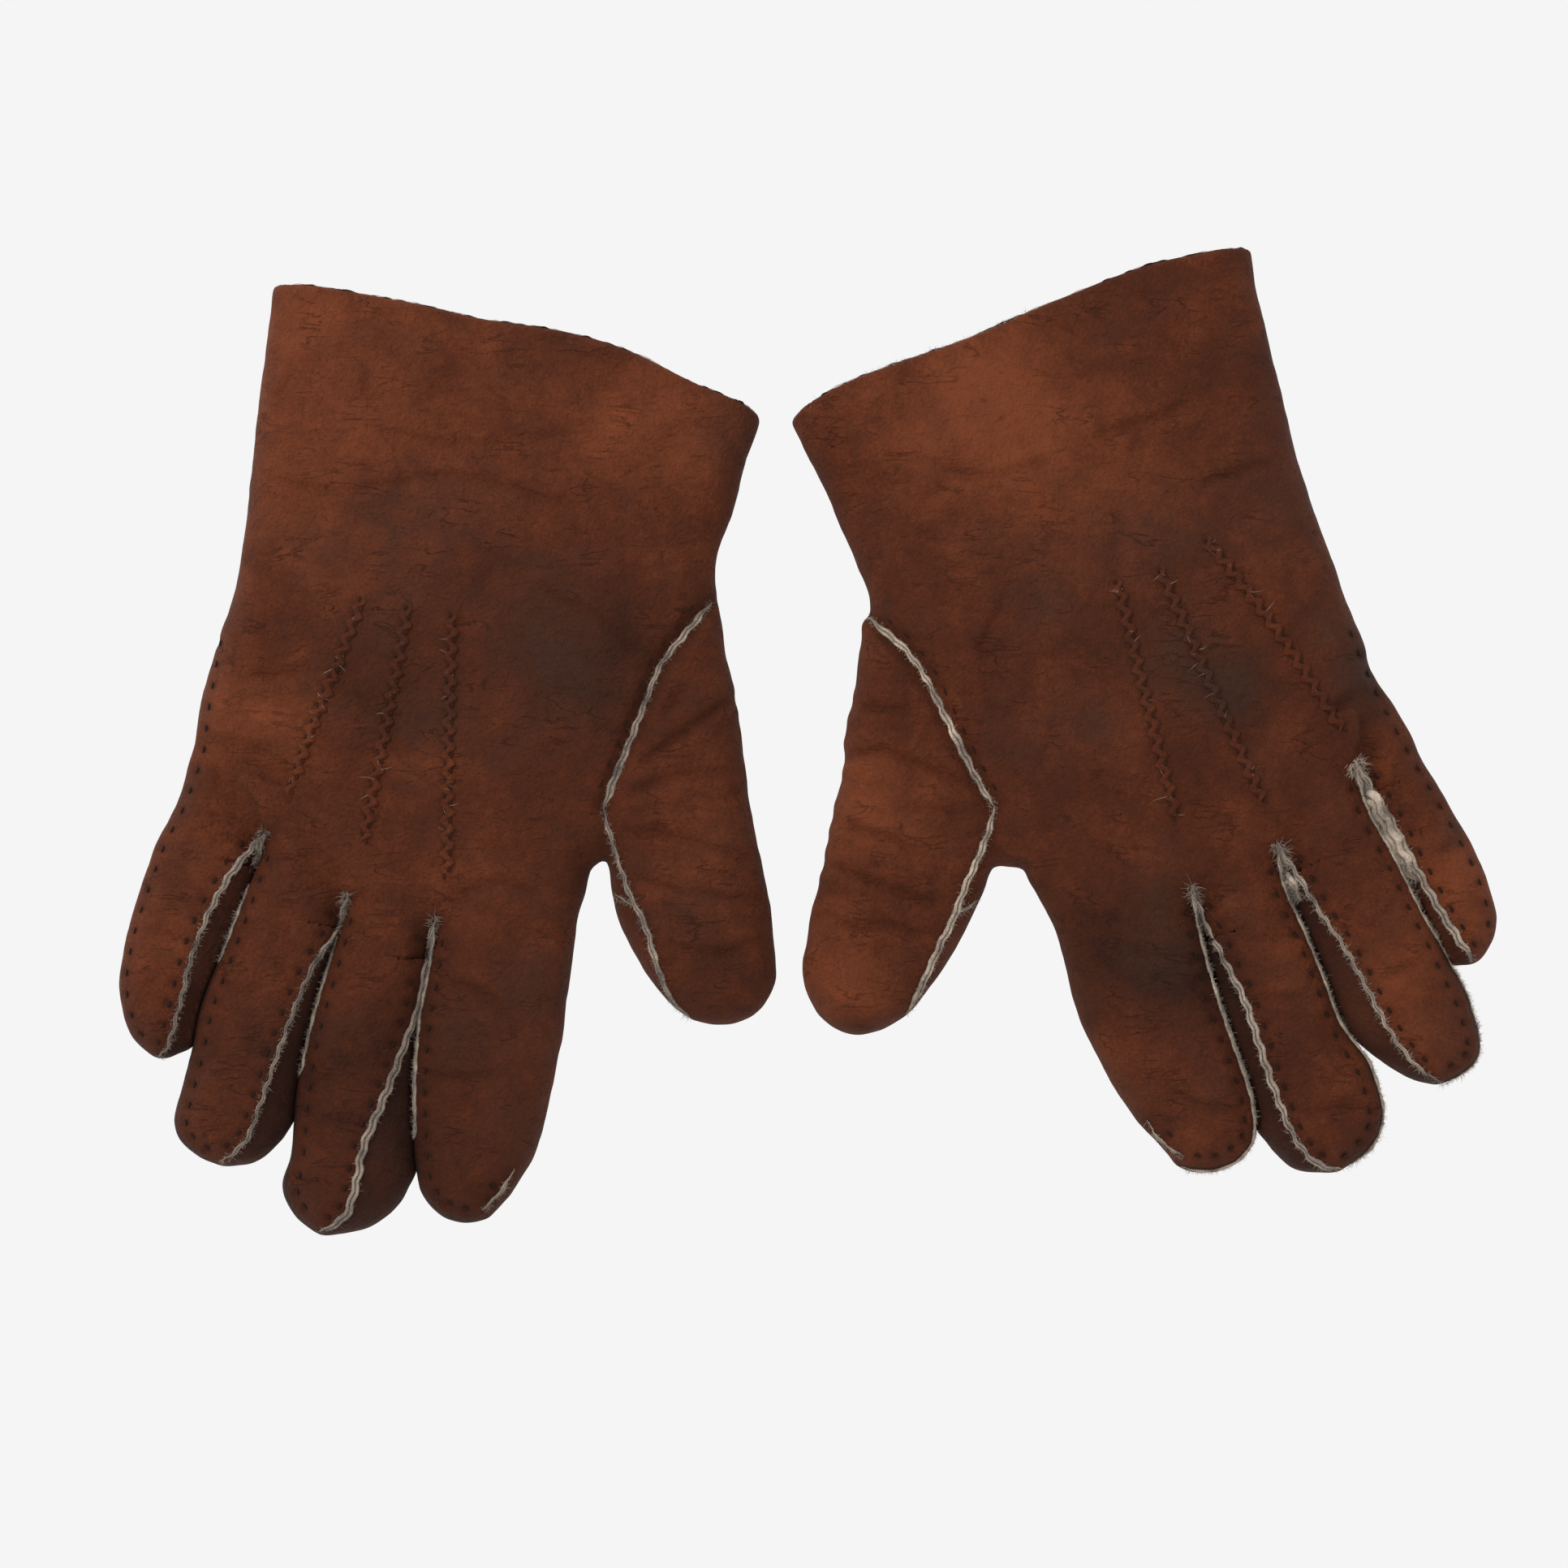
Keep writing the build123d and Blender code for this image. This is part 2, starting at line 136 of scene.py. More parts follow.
# creases: (line, depth). tones and smoke: (x, y, radius, amount) patches of the dye.
# tufts: (line, width, reach of its hairs). shown: how much of a finger's outer seam is seen from above,
# before it turns down the finger's side by roll degrees.
RIGHT = {
    "turn": 1,
    "hand": [(-140, 138), (-142, 121.5), (-144, 105), (-146, 88), (-149, 60), (-152, 40), (-156, 28),
        (-161, 10), (-162.5, -3), (-161, -14), (-150, -24), (-142, -28), (-131, -35), (-122, -44),
        (-110, -47), (-99, -50), (-80, -48), (-64, -44), (-60, -36), (-58.5, -33.2), (-53, -30.6), (-48, -26),
        (-38, -10), (-28, 10), (-24, 30), (-24, 48), (-20, 60), (-17, 72), (-12.5, 86), (-8, 101)],
    "cuff": [(-152, 123), (-142, 121.5), (-130, 120.5), (-115, 118), (-100, 115), (-87, 112), (-70, 109.5),
        (-60, 107.5), (-50, 104.5), (-40, 100), (-30, 95), (-18, 90), (-12, 86), (-4, 79)],
    "thumb": [(-25.5, 37), (-21, 21), (-17.5, 0), (-15.5, -15), (-13, -30), (-10, -45), (-8.3, -57),
        (-9, -65), (-14, -72), (-22, -75), (-30, -74), (-37, -69), (-43, -61), (-49, -50), (-52, -40),
        (-53.5, -31), (-58, -22), (-57, -8), (-50, 10), (-38, 28)],
    "thumb_seam": [(-25.5, 37), (-32, 29), (-39, 20), (-43, 10), (-47, 0), (-51, -10), (-54, -18)],
    "thumb_fence": [(-53, -31), (-57, -42), (-57, -90), (10, -90), (10, 37)],
    "thumb_side_seam": [(-54, -18), (-51, -28), (-47, -40), (-43, -48), (-40, -58), (-36, -68), (-31, -73)],
    "thumb_cross_seam": [(-51, -40.5), (-46, -43)],
    "index": [(-100, -30), (-98.5, -47), (-101, -60), (-103.5, -72), (-105, -88), (-105, -100), (-104, -113),
        (-102, -120), (-97, -125), (-91, -126.8), (-85, -125.5), (-80, -121), (-76, -115), (-72, -108),
        (-68, -94), (-65, -80), (-63, -62), (-61, -47), (-58, -34), (-60, -20)],
    "middle": [(-124, -25), (-121.5, -41), (-127, -57), (-131, -70), (-134, -82), (-136, -95), (-137, -110),
        (-139, -118), (-136, -125), (-130, -129.5), (-124, -130.5), (-116, -129), (-110, -125), (-106, -119),
        (-103, -111), (-101.5, -100), (-102, -88), (-100.5, -72), (-98, -60), (-95.5, -47), (-94, -30)],
    "ring": [(-146, -10), (-143, -23.5), (-150, -42), (-156, -57), (-161, -70), (-163.5, -82), (-167, -95),
        (-168, -101), (-166, -106), (-160, -110.5), (-152, -112), (-146, -111), (-140, -106), (-136, -100),
        (-132.5, -92), (-131, -82), (-128, -70), (-124, -57), (-118.5, -41), (-116, -25)],
    "little": [(-156, 0), (-162.5, -3), (-168, -18), (-173, -28), (-179, -45), (-182, -56), (-183, -65),
        (-181, -75), (-177, -81), (-172, -84), (-167, -83), (-162, -79.5), (-158.5, -70), (-153, -57),
        (-147, -42), (-140, -23.5), (-137, -8)],
    "radial_seams": {
        "little": [(-143, -23.5), (-151, -33), (-158, -45), (-163, -58), (-166, -70), (-169, -80),
            (-172, -83.5)],
        "ring": [(-121.5, -40), (-125, -50), (-131, -60), (-136, -72), (-140, -83), (-144, -95), (-148, -105),
            (-155, -111)],
        "middle": [(-98.5, -46), (-101, -57), (-103.5, -70), (-108, -84), (-113, -97), (-117, -107),
            (-119, -117), (-122, -125), (-129, -129.5)],
    },
    "ulnar_seams": {
        "ring": [(-143, -23.5), (-149, -41), (-155, -57), (-159.7, -70), (-162.3, -82), (-165.7, -95),
            (-166.6, -101), (-164.5, -105.5), (-159.5, -109.5), (-155, -111)],
        "middle": [(-121.5, -40), (-126, -57), (-129.8, -70), (-132.7, -82), (-134.7, -95), (-135.8, -110),
            (-137.3, -118), (-135, -124), (-129, -129.5)],
        "index": [(-98.5, -46), (-100, -60), (-102.3, -72), (-103.7, -88), (-103.7, -100), (-102.8, -113),
            (-100.8, -119), (-96.5, -123.5), (-91, -125.5), (-86, -125)],
    },
    "tip_seam": [(-77.5, -112.5), (-81, -118.5), (-86, -123.5)],
    "shown": {"ring": 0.36, "middle": 0.5, "index": 0.62},
    "roll": 90,
    "tufts": {
        "little": ([(-143, -23), (-145.5, -28), (-147.5, -33)], 0.9, 2.0),
        "ring": ([(-121.4, -39.5), (-122.6, -45), (-124.5, -50)], 0.8, 2.0),
        "middle": ([(-98.5, -45.5), (-99.2, -51), (-100, -56)], 0.7, 2.0),
    },
    "smoke": [(-68, 27, 15, 0.8), (-98, 6, 10, 0.6), (-102, 58, 16, 0.4), (-16, 78, 7, 0.6),
        (-74, -66, 9, 0.6), (-74, -101, 8, 0.5), (-60, 12, 9, 0.5), (-112, 30, 9, 0.5), (-130, 50, 12, 0.3),
        (-92, -78, 8, 0.4), (-30, -44, 8, 0.4)],
    "outer_stitches": [(-154.5, 33), (-158, 10), (-160, -3), (-165.5, -18), (-170.5, -28), (-176.5, -45),
        (-179.4, -56), (-180.3, -65), (-178, -75), (-173, -80.5)],
    "points": [[(-117, 38), (-125, 17), (-131, 2), (-137, -15)], [(-105, 36), (-111, 4), (-117, -27)],
        [(-93.5, 34), (-94.5, 0), (-95, -36)]],
    "creases": [([(-102, -88.4), (-90.8, -89), (-81.4, -88)], 0.7), ([(-96.5, -63.6), (-90.8, -64.4),
        (-83.6, -67.2), (-80, -72)], 0.8), ([(-130, -99.5), (-117, -100)], 0.7), ([(-126.6, -76.5),
        (-120, -79.4)], 0.6), ([(-149.5, 16.7), (-140.6, 17.2), (-131.6, 19)], 0.9), ([(-45.7, -7),
        (-30.4, 3.7), (-20.5, 11)], 1.0), ([(-48, -14), (-34, -9), (-20, -8)], 0.8), ([(-49, -24), (-36, -25),
        (-17, -31)], 0.8), ([(-46, -36), (-30, -40), (-14, -42)], 0.7), ([(-40, -52), (-26, -56),
        (-14, -54)], 0.6), ([(-40, 4), (-31, 16)], 0.7), ([(-145, 70), (-120, 66), (-95, 70),
        (-62, 62)], 0.7), ([(-120, 84), (-90, 78), (-60, 82)], 0.5), ([(-98.5, -44), (-84, -38),
        (-70, -40)], 0.7), ([(-158, -60), (-150, -66), (-142, -64)], 0.6), ([(-155, -84), (-147, -86)], 0.6),
        ([(-176, -50), (-168, -52)], 0.5), ([(-70, 40), (-52, 30), (-44, 20)], 0.6)],
    "tones": [(-130, 105, 26, 0.45), (-90, 85, 26, 0.15), (-42, 82, 20, 0.5), (-90, -34, 14, 0.15),
        (-80, 58, 24, 0.0), (-135, 60, 20, 0.3), (-90, 20, 24, -0.1), (-110, 18, 14, -0.25),
        (-151, 8, 14, 0.4), (-100, -20, 18, 0.05), (-55, 20, 20, -0.5), (-30, -20, 16, 0.1),
        (-20, -62, 14, -0.1), (-84, -72, 18, -0.2), (-92, -108, 14, -0.35), (-120, -90, 20, -0.4),
        (-150, -85, 18, -0.15), (-170, -52, 16, 0.3)],
}
LEFT = {
    "turn": -1,
    "hand": [(115, 146), (118, 129), (121, 113), (125, 95), (129, 78), (133, 65), (139, 48), (143, 37),
        (148, 26), (150, 19), (158, 4), (158, -4), (148, -8), (140, -14), (127, -30), (116, -36), (103, -42),
        (80, -43), (66, -42), (60, -37), (57.5, -33.6), (52, -32.6), (47, -31), (40, -20), (34, -6), (24, 12),
        (17, 28), (16, 38), (13, 46), (9, 56), (3, 70), (-4, 84), (-11, 98)],
    "cuff": [(-14, 78), (-4, 86), (0, 89.5), (10, 95), (20, 99), (30, 102.5), (40, 106), (50, 110),
        (60, 114.5), (70, 118.5), (80, 122.5), (90, 126), (100, 128.5), (110, 130.5), (118, 131), (128, 131)],
    "thumb": [(16, 33), (13.5, 25), (12, 15), (10, 0), (9.5, -8), (6.5, -20), (4.5, -31), (0, -50),
        (-1.7, -60), (-0.5, -67), (4, -74), (12, -78), (20, -76), (28, -70), (36, -60), (42, -49), (46, -40),
        (49, -32.5), (57, -22), (55, -10), (46, 8), (32, 26)],
    "thumb_seam": [(16, 33), (21, 28.5), (26, 24), (31, 17), (35, 9), (39, 1), (43, -7), (47, -14),
        (49, -17)],
    "thumb_fence": [(50, -32), (54, -42), (54, -90), (-12, -90), (-12, 33)],
    "thumb_side_seam": [(49, -17), (48, -22), (45, -30), (41, -39), (38, -47), (34, -55), (30, -64),
        (26, -72)],
    "thumb_cross_seam": [(38, -46), (45, -42)],
    "index": [(98, -25), (101, -39), (105, -52), (109, -66), (113, -78), (117, -89), (119, -97), (119, -103),
        (117, -108), (112, -112), (105, -113.5), (99, -112), (94, -107), (88, -101), (82, -93), (75, -80),
        (70, -67), (67, -55), (63, -44), (60, -35), (60, -20)],
    "middle": [(120, -14), (123.5, -27), (127, -38), (132, -49), (137, -61), (141, -72), (144, -78),
        (149, -86), (152, -96), (152, -102), (149, -108), (144, -112), (138, -114.5), (130, -114),
        (125, -110.5), (119, -103), (116, -97), (114, -89), (110, -78), (106, -66), (102, -52), (98, -39),
        (94, -25)],
    "ring": [(142, 8), (144, -5), (149, -18), (155, -28), (160, -38), (165, -48), (170, -58), (175, -68),
        (178, -78), (177.5, -84), (173, -88.5), (167, -90.5), (160, -89.5), (152, -84.5), (145, -79),
        (141, -75), (138, -69), (134, -60), (129, -49), (124, -38), (120.5, -27), (116, -14)],
    "little": [(150, 12), (158, 4), (165, -8), (172, -20), (178, -31), (181.5, -40), (182.8, -48), (181, -54),
        (177, -58.5), (168, -58.5), (162, -48), (157, -38), (152, -28), (146, -18), (141, -5), (139, 8)],
    "radial_seams": {
        "little": [(144, -5), (149, -12), (155, -22), (160, -32), (165, -41), (171, -51), (176, -58)],
        "ring": [(123.5, -27), (129, -35), (135, -45), (141, -54), (147, -65), (153, -76), (160, -85),
            (167, -90)],
        "middle": [(101, -38), (105, -47), (110, -58), (115, -68), (119, -80), (123, -92), (128, -104),
            (134, -111), (141, -113)],
    },
    "ulnar_seams": {
        "ring": [(144, -5), (148, -18), (153.8, -28.6), (158.8, -38.6), (163.8, -48.6), (168.8, -58.6),
            (173.6, -68.5), (176.4, -78), (176, -83), (172, -87), (167, -89.5)],
        "middle": [(123.5, -27), (125.8, -38.4), (130.8, -49.5), (135.7, -61.5), (139.8, -72.6), (143, -79),
            (147.5, -86.5), (150.4, -96), (150.4, -102), (147.5, -107), (144, -110.5), (141, -113)],
        "index": [(101, -38), (103.8, -52.4), (107.8, -66.4), (111.8, -78.4), (115.7, -89.5), (117.5, -97),
            (117.5, -103), (115.5, -107), (111, -110.5), (105, -112), (99, -111)],
    },
    "tip_seam": [(89.5, -100), (93, -105), (99, -109.5)],
    "shown": {"ring": 0.46, "middle": 0.5, "index": 0.7},
    "roll": 10,
    "tufts": {
        "little": ([(143.6, -5), (149.5, -15), (155.6, -27), (160.5, -37)], 1.55, 2.6),
        "ring": ([(123.3, -26.5), (126.6, -34), (130.4, -42)], 1.15, 2.4),
        "middle": ([(100.8, -37.5), (103, -44), (105, -50)], 0.8, 3.0),
    },
    "smoke": [(98, 21, 13, 0.8), (112, 14, 9, 0.9), (137, 31, 7, 0.7), (146, 17, 9, 1.0), (77, 4, 6, 0.7),
        (92, -42, 6, 0.6), (93, -57, 10, 0.8), (62, 37, 9, 0.7), (171, -24, 4, 0.8), (170, -80, 6, 0.6),
        (106, -92, 6, 0.5), (58, -2, 9, 0.4), (88, 52, 14, 0.5), (122, 62, 16, 0.5)],
    "outer_stitches": [(141, 35), (147.5, 19), (155.5, 3), (162.7, -9), (169.5, -21), (175.5, -32),
        (179, -41), (180, -48), (178, -53)],
    "points": [[(81, 43), (88, 14), (97, -21)], [(92, 46), (107, 12), (120, -17)], [(104, 54), (124, 28),
        (141, 2)]],
    "creases": [([(10.7, 9.7), (19, 8.6), (28.2, 8.4)], 0.8), ([(9.4, -4.2), (19.2, -2.8), (30, -6.8),
        (42.5, -11.3)], 1.1), ([(23.7, -18), (32.7, -18), (40.7, -19.8)], 0.8), ([(7.6, -20.3), (14.8, -23.9),
        (22.8, -25.7), (28.2, -31)], 1.0), ([(4.9, -32.4), (19.2, -37.8), (30, -41.8), (36.2, -42.7)], 1.1),
        ([(4.9, -46.3), (12, -49), (20, -48), (28.2, -50.7), (33.6, -50.3)], 1.0), ([(14.8, -55.7),
        (21.9, -55.7)], 0.6), ([(74, 79), (82.7, 82.6), (94.5, 86.3), (102, 91)], 0.9), ([(102, 66.4),
        (112.8, 70.7), (123.5, 74)], 0.9), ([(84, -55), (91, -55.7)], 0.7), ([(97.5, -93.7), (105.8, -96.2),
        (115.7, -97)], 0.8), ([(130.6, -97.8), (138.9, -97), (147.2, -95)], 0.8), ([(121.5, -67.3),
        (132.3, -67.3)], 0.7), ([(115.7, -51.2), (127.3, -52)], 0.7), ([(149.6, -64), (155.3, -60.6),
        (162.9, -57.8)], 0.7), ([(161.2, -32.5), (171.9, -25.9)], 0.7), ([(26, 76), (46, 70), (66, 74)], 0.6),
        ([(52, 40), (46, 22), (50, 6)], 0.6), ([(66, 4), (60, -10), (64, -24)], 0.5)],
    "tones": [(40, 95, 26, 0.45), (50, 88, 14, 0.55), (70, 70, 24, 0.3), (120, 50, 14, 0.1),
        (112, 15, 9, -0.5), (147, 18, 8, -0.45), (70, 20, 26, -0.05), (15, -15, 16, 0.55), (10, -60, 16, 0.4),
        (80, -55, 16, -0.5), (100, -62, 12, -0.5), (100, -102, 12, 0.15), (128, -80, 18, -0.1),
        (154, -68, 20, 0.45), (170, -38, 14, 0.6), (128, -60, 9, 0.2)],
}
GLOVES = {"right": RIGHT, "left": LEFT}


def lengths(line):
    """Length along a line at each of its points."""
    return np.concatenate([[0], np.cumsum(np.linalg.norm(np.diff(line, axis=0), axis=1))])


def at_length(line, length, at):
    """Plan points of a line at the given lengths along it."""
    return np.stack([np.interp(at, length, line[:, k]) for k in (0, 1)], -1)


def curve(points, step=0.5, closed=False):
    """Evenly spaced points of a smooth line through the given points."""
    p = np.array(points, float)
    if closed:
        p = np.vstack([p[-1], p, p[0], p[1]])
    else:
        p = np.vstack([2 * p[0] - p[1], p, 2 * p[-1] - p[-2]])
    out = []
    for a, b, c, d in zip(p[:-3], p[1:-2], p[2:-1], p[3:]):
        t = np.linspace(0, 1, 24, endpoint=False)[:, None]
        out.append(0.5 * (2 * b + (c - a) * t + (2 * a - 5 * b + 4 * c - d) * t ** 2
                          + (3 * b - a - 3 * c + d) * t ** 3))
    out.append(p[-2][None])
    line = np.vstack(out)
    length = lengths(line)
    return at_length(line, length, np.linspace(0, length[-1], max(2, int(round(length[-1] / step)) + 1)))


def unit(vectors):
    """The vectors at length one."""
    return vectors / np.linalg.norm(vectors, axis=-1, keepdims=True)


def rightward(line):
    """Unit vectors at right angles to a plan line, on its right."""
    along = unit(np.gradient(line, axis=0))
    return np.stack([along[:, 1], -along[:, 0]], 1)


def taper(count, ends):
    """Rises from nearly 0 to 1 over the first points, and falls again over the last ones."""
    return np.minimum(1, np.minimum(np.arange(count) + 1, count - np.arange(count)) / ends)


def line_distance(xy, line):
    """Distance to an open line, with the sign of the side: positive on its left."""
    best = np.full(len(xy), 1e9)
    sign = np.ones(len(xy))
    for a, b in zip(line[:-1], line[1:]):
        d = b - a
        r = xy - a
        t = np.clip((r @ d) / max(d @ d, 1e-9), 0, 1)
        q = r - t[:, None] * d
        dist = np.hypot(q[:, 0], q[:, 1])
        closer = dist < best
        best = np.where(closer, dist, best)
        sign = np.where(closer, np.sign(d[0] * r[:, 1] - d[1] * r[:, 0]), sign)
    return best, sign


def inside_distance(xy, loop):
    """Distance to a closed outline, positive inside."""
    line = np.vstack([loop, loop[:1]])
    best, _ = line_distance(xy, line)
    inside = np.zeros(len(xy), bool)
    for (ax, ay), (bx, by) in zip(line[:-1], line[1:]):
        if ay == by:
            continue
        hit = (ay > xy[:, 1]) != (by > xy[:, 1])
        inside ^= hit & (xy[:, 0] < (bx - ax) * (xy[:, 1] - ay) / (by - ay) + ax)
    return np.where(inside, best, -best)


def near(xy, line, reach):
    """Indices of the points within reach of a line, and their distances."""
    lo = line.min(0) - reach
    hi = line.max(0) + reach
    pick = np.flatnonzero(((xy > lo) & (xy < hi)).all(1))
    dist, _ = line_distance(xy[pick], line)
    keep = dist < reach
    return pick[keep], dist[keep]


def soft_max(a, b, k):
    """The larger of two fields, rounded over a width of k where they meet."""
    h = np.clip(k - np.abs(a - b), 0, None) / k
    return np.maximum(a, b) + h * h * k / 4


def smooth(t):
    t = np.clip(t, 0, 1)
    return t * t * (3 - 2 * t)


def wobble(points, wavelength, seed):
    """Smooth noise of about -1 to 1 at every point."""
    shift = Vector((seed * 13.7, seed * 7.3, seed * 3.1))
    scale = 1 / wavelength
    return np.array([noise.noise(Vector(p) * scale + shift) for p in points.tolist()])


def bilinear(field, origin, xy):
    """Value of a plan grid at any points."""
    g = (xy - origin) / VOXEL
    i = np.clip(np.floor(g).astype(int), 0, np.array(field.shape) - 2)
    f = np.clip(g - i, 0, 1)
    x0, y0 = i[:, 0], i[:, 1]
    fx, fy = f[:, 0], f[:, 1]
    return ((field[x0, y0] * (1 - fx) + field[x0 + 1, y0] * fx) * (1 - fy)
            + (field[x0, y0 + 1] * (1 - fx) + field[x0 + 1, y0 + 1] * fx) * fy)


def vertex_normals(points, quads):
    """Unit normals, each the mean of the faces around its point by area."""
    d1 = points[quads[:, 2]] - points[quads[:, 0]]
    d2 = points[quads[:, 3]] - points[quads[:, 1]]
    n = np.cross(d1, d2)
    out = np.zeros_like(points)
    for k in range(4):
        np.add.at(out, quads[:, k], n)
    return out / np.maximum(np.linalg.norm(out, axis=1), 1e-9)[:, None]


def roughen(points, amount, wavelength, seed):
    return points + amount * np.stack([wobble(points, wavelength, seed + k) for k in range(3)], 1)


def tube(rings):
    """Points and faces of a closed tube through rings of points."""
    n, m = rings.shape[:2]
    i = np.arange(n - 1)[:, None] * m
    j = np.arange(m)[None]
    k = (j + 1) % m
    quads = np.stack([i + j, i + k, i + m + k, i + m + j], -1).reshape(-1, 4)
    caps = np.array([np.arange(m)[::-1], np.arange(m) + (n - 1) * m])
    return rings.reshape(-1, 3), [quads, caps]


def moulding(spots, side, ups, profile, wide, drift, high):
    """A tube of one profile, scaled by wide and high and moved sideways by drift along its line."""
    wide, drift, high = (v[:, None, None] for v in (wide, drift, high))
    return tube(spots[:, None] + side[:, None] * (profile[None, :, :1] * wide + drift)
                + ups[:, None] * profile[None, :, 1:] * high)


def capsule(centre, along, up, length, width, height):
    """A short rounded stitch with blunt ends."""
    side = unit(np.cross(up, along))
    stations = np.array([-0.5, -0.44, -0.3, 0, 0.3, 0.44, 0.5])
    sizes = np.array([0.25, 0.7, 0.95, 1.0, 0.95, 0.7, 0.25])
    angles = np.linspace(0, 2 * math.pi, 8, endpoint=False)
    ring = np.stack([np.cos(angles) * width / 2, np.sin(angles) * height / 2], 1)
    section = side[None] * ring[:, :1] + up[None] * ring[:, 1:]
    bow = 0.25 * height * (1 - (stations * 2) ** 2)
    return tube(np.stack([centre + along * length * station + up * rise + section * size
                          for station, size, rise in zip(stations, sizes, bow)]))


def attribute(mesh, name, values):
    kind = "FLOAT" if values.ndim == 1 else "FLOAT_VECTOR"
    layer = mesh.attributes.new(name, kind, "POINT")
    layer.data.foreach_set("value" if values.ndim == 1 else "vector", values.astype(np.float32).ravel())


def piece(name, points, faces, material, slot, marks, normals=None):
    """A smooth-shaded mesh object. Points are in millimetres; faces is a list of index arrays."""
    mesh = bpy.data.meshes.new(name)
    sizes = np.concatenate([np.full(len(f), f.shape[1]) for f in faces])
    index = np.concatenate([f.ravel() for f in faces])
    mesh.vertices.add(len(points))
    mesh.vertices.foreach_set("co", (points / 1000).astype(np.float32).ravel())
    mesh.loops.add(len(index))
    mesh.loops.foreach_set("vertex_index", index.astype(np.int32))
    mesh.polygons.add(len(sizes))
    mesh.polygons.foreach_set("loop_start", np.concatenate([[0], np.cumsum(sizes)[:-1]]).astype(np.int32))
    mesh.polygons.foreach_set("use_smooth", np.ones(len(sizes), bool))
    mesh.update(calc_edges=True)
    mesh.validate()
    attribute(mesh, "rest", points)
    for key, values in marks.items():
        attribute(mesh, key, values)
    if normals is not None:
        mesh.normals_split_custom_set_from_vertices(normals.tolist())
    obj = bpy.data.objects.new(name, mesh)
    bpy.context.scene.collection.objects.link(obj)
    obj.data.materials.append(material)
    return obj


# ---------------------------------------------------------------- materials
BLACK = (0, 0, 0)
WHITE = (1, 1, 1)


def rgb(r, g, b):
    """Linear colour of an 8-bit display colour."""
    return tuple(((v / 255 + 0.055) / 1.055) ** 2.4 if v > 10 else v / 255 / 12.92 for v in (r, g, b))


class Nodes:
    """A node material whose textures follow the rest positions of the pieces, in millimetres."""
    def __init__(self, name):
        self.material = bpy.data.materials.new(name)
        self.material.use_nodes = True
        self.tree = self.material.node_tree
        self.at = self.attribute("rest", "Vector")

    def new(self, kind):
        return self.tree.nodes.new("ShaderNode" + kind)

    def wire(self, node, values, output=None):
        """Link or set inputs of a node, and return one of its outputs."""
        for key, value in values.items():
            if isinstance(value, bpy.types.NodeSocket):
                self.tree.links.new(value, node.inputs[key])
            else:
                node.inputs[key].default_value = value
        return None if output is None else node.outputs[output]

    def finish(self, values):
        self.wire(self.tree.nodes["Principled BSDF"], values)
        return self.material

    def attribute(self, name, output="Fac"):
        node = self.new("Attribute")
        node.attribute_name = name
        return node.outputs[output]

    def noise(self, scale, detail, roughness, distortion=0.0, at=None):
        return self.wire(self.new("TexNoise"), {"Vector": at or self.at, "Scale": scale, "Detail": detail,
                                                "Roughness": roughness, "Distortion": distortion}, "Fac")

    def math(self, kind, a, b=0.0, c=0.0):
        node = self.new("Math")
        node.operation = kind
        return self.wire(node, {0: a, 1: b, 2: c}, 0)

    def mix(self, kind, factor, a, b):
        node = self.new("Mix")
        node.data_type = "RGBA"
        node.blend_type = kind
        return self.wire(node, {0: factor, 6: a, 7: (*b, 1)}, 2)

    def ramp(self, value, *stops):
        node = self.new("ValToRGB")
        while len(node.color_ramp.elements) < len(stops):
            node.color_ramp.elements.new(0.5)
        for element, (at, colour) in zip(node.color_ramp.elements, stops):
            element.position = at
            element.color = (*colour, 1)
        return self.wire(node, {"Fac": value}, "Color")

    def bump(self, height, distance, strength, below=None):
        values = {"Strength": strength, "Distance": distance, "Height": height}
        if below is not None:
            values["Normal"] = below
        return self.wire(self.new("Bump"), values, "Normal")


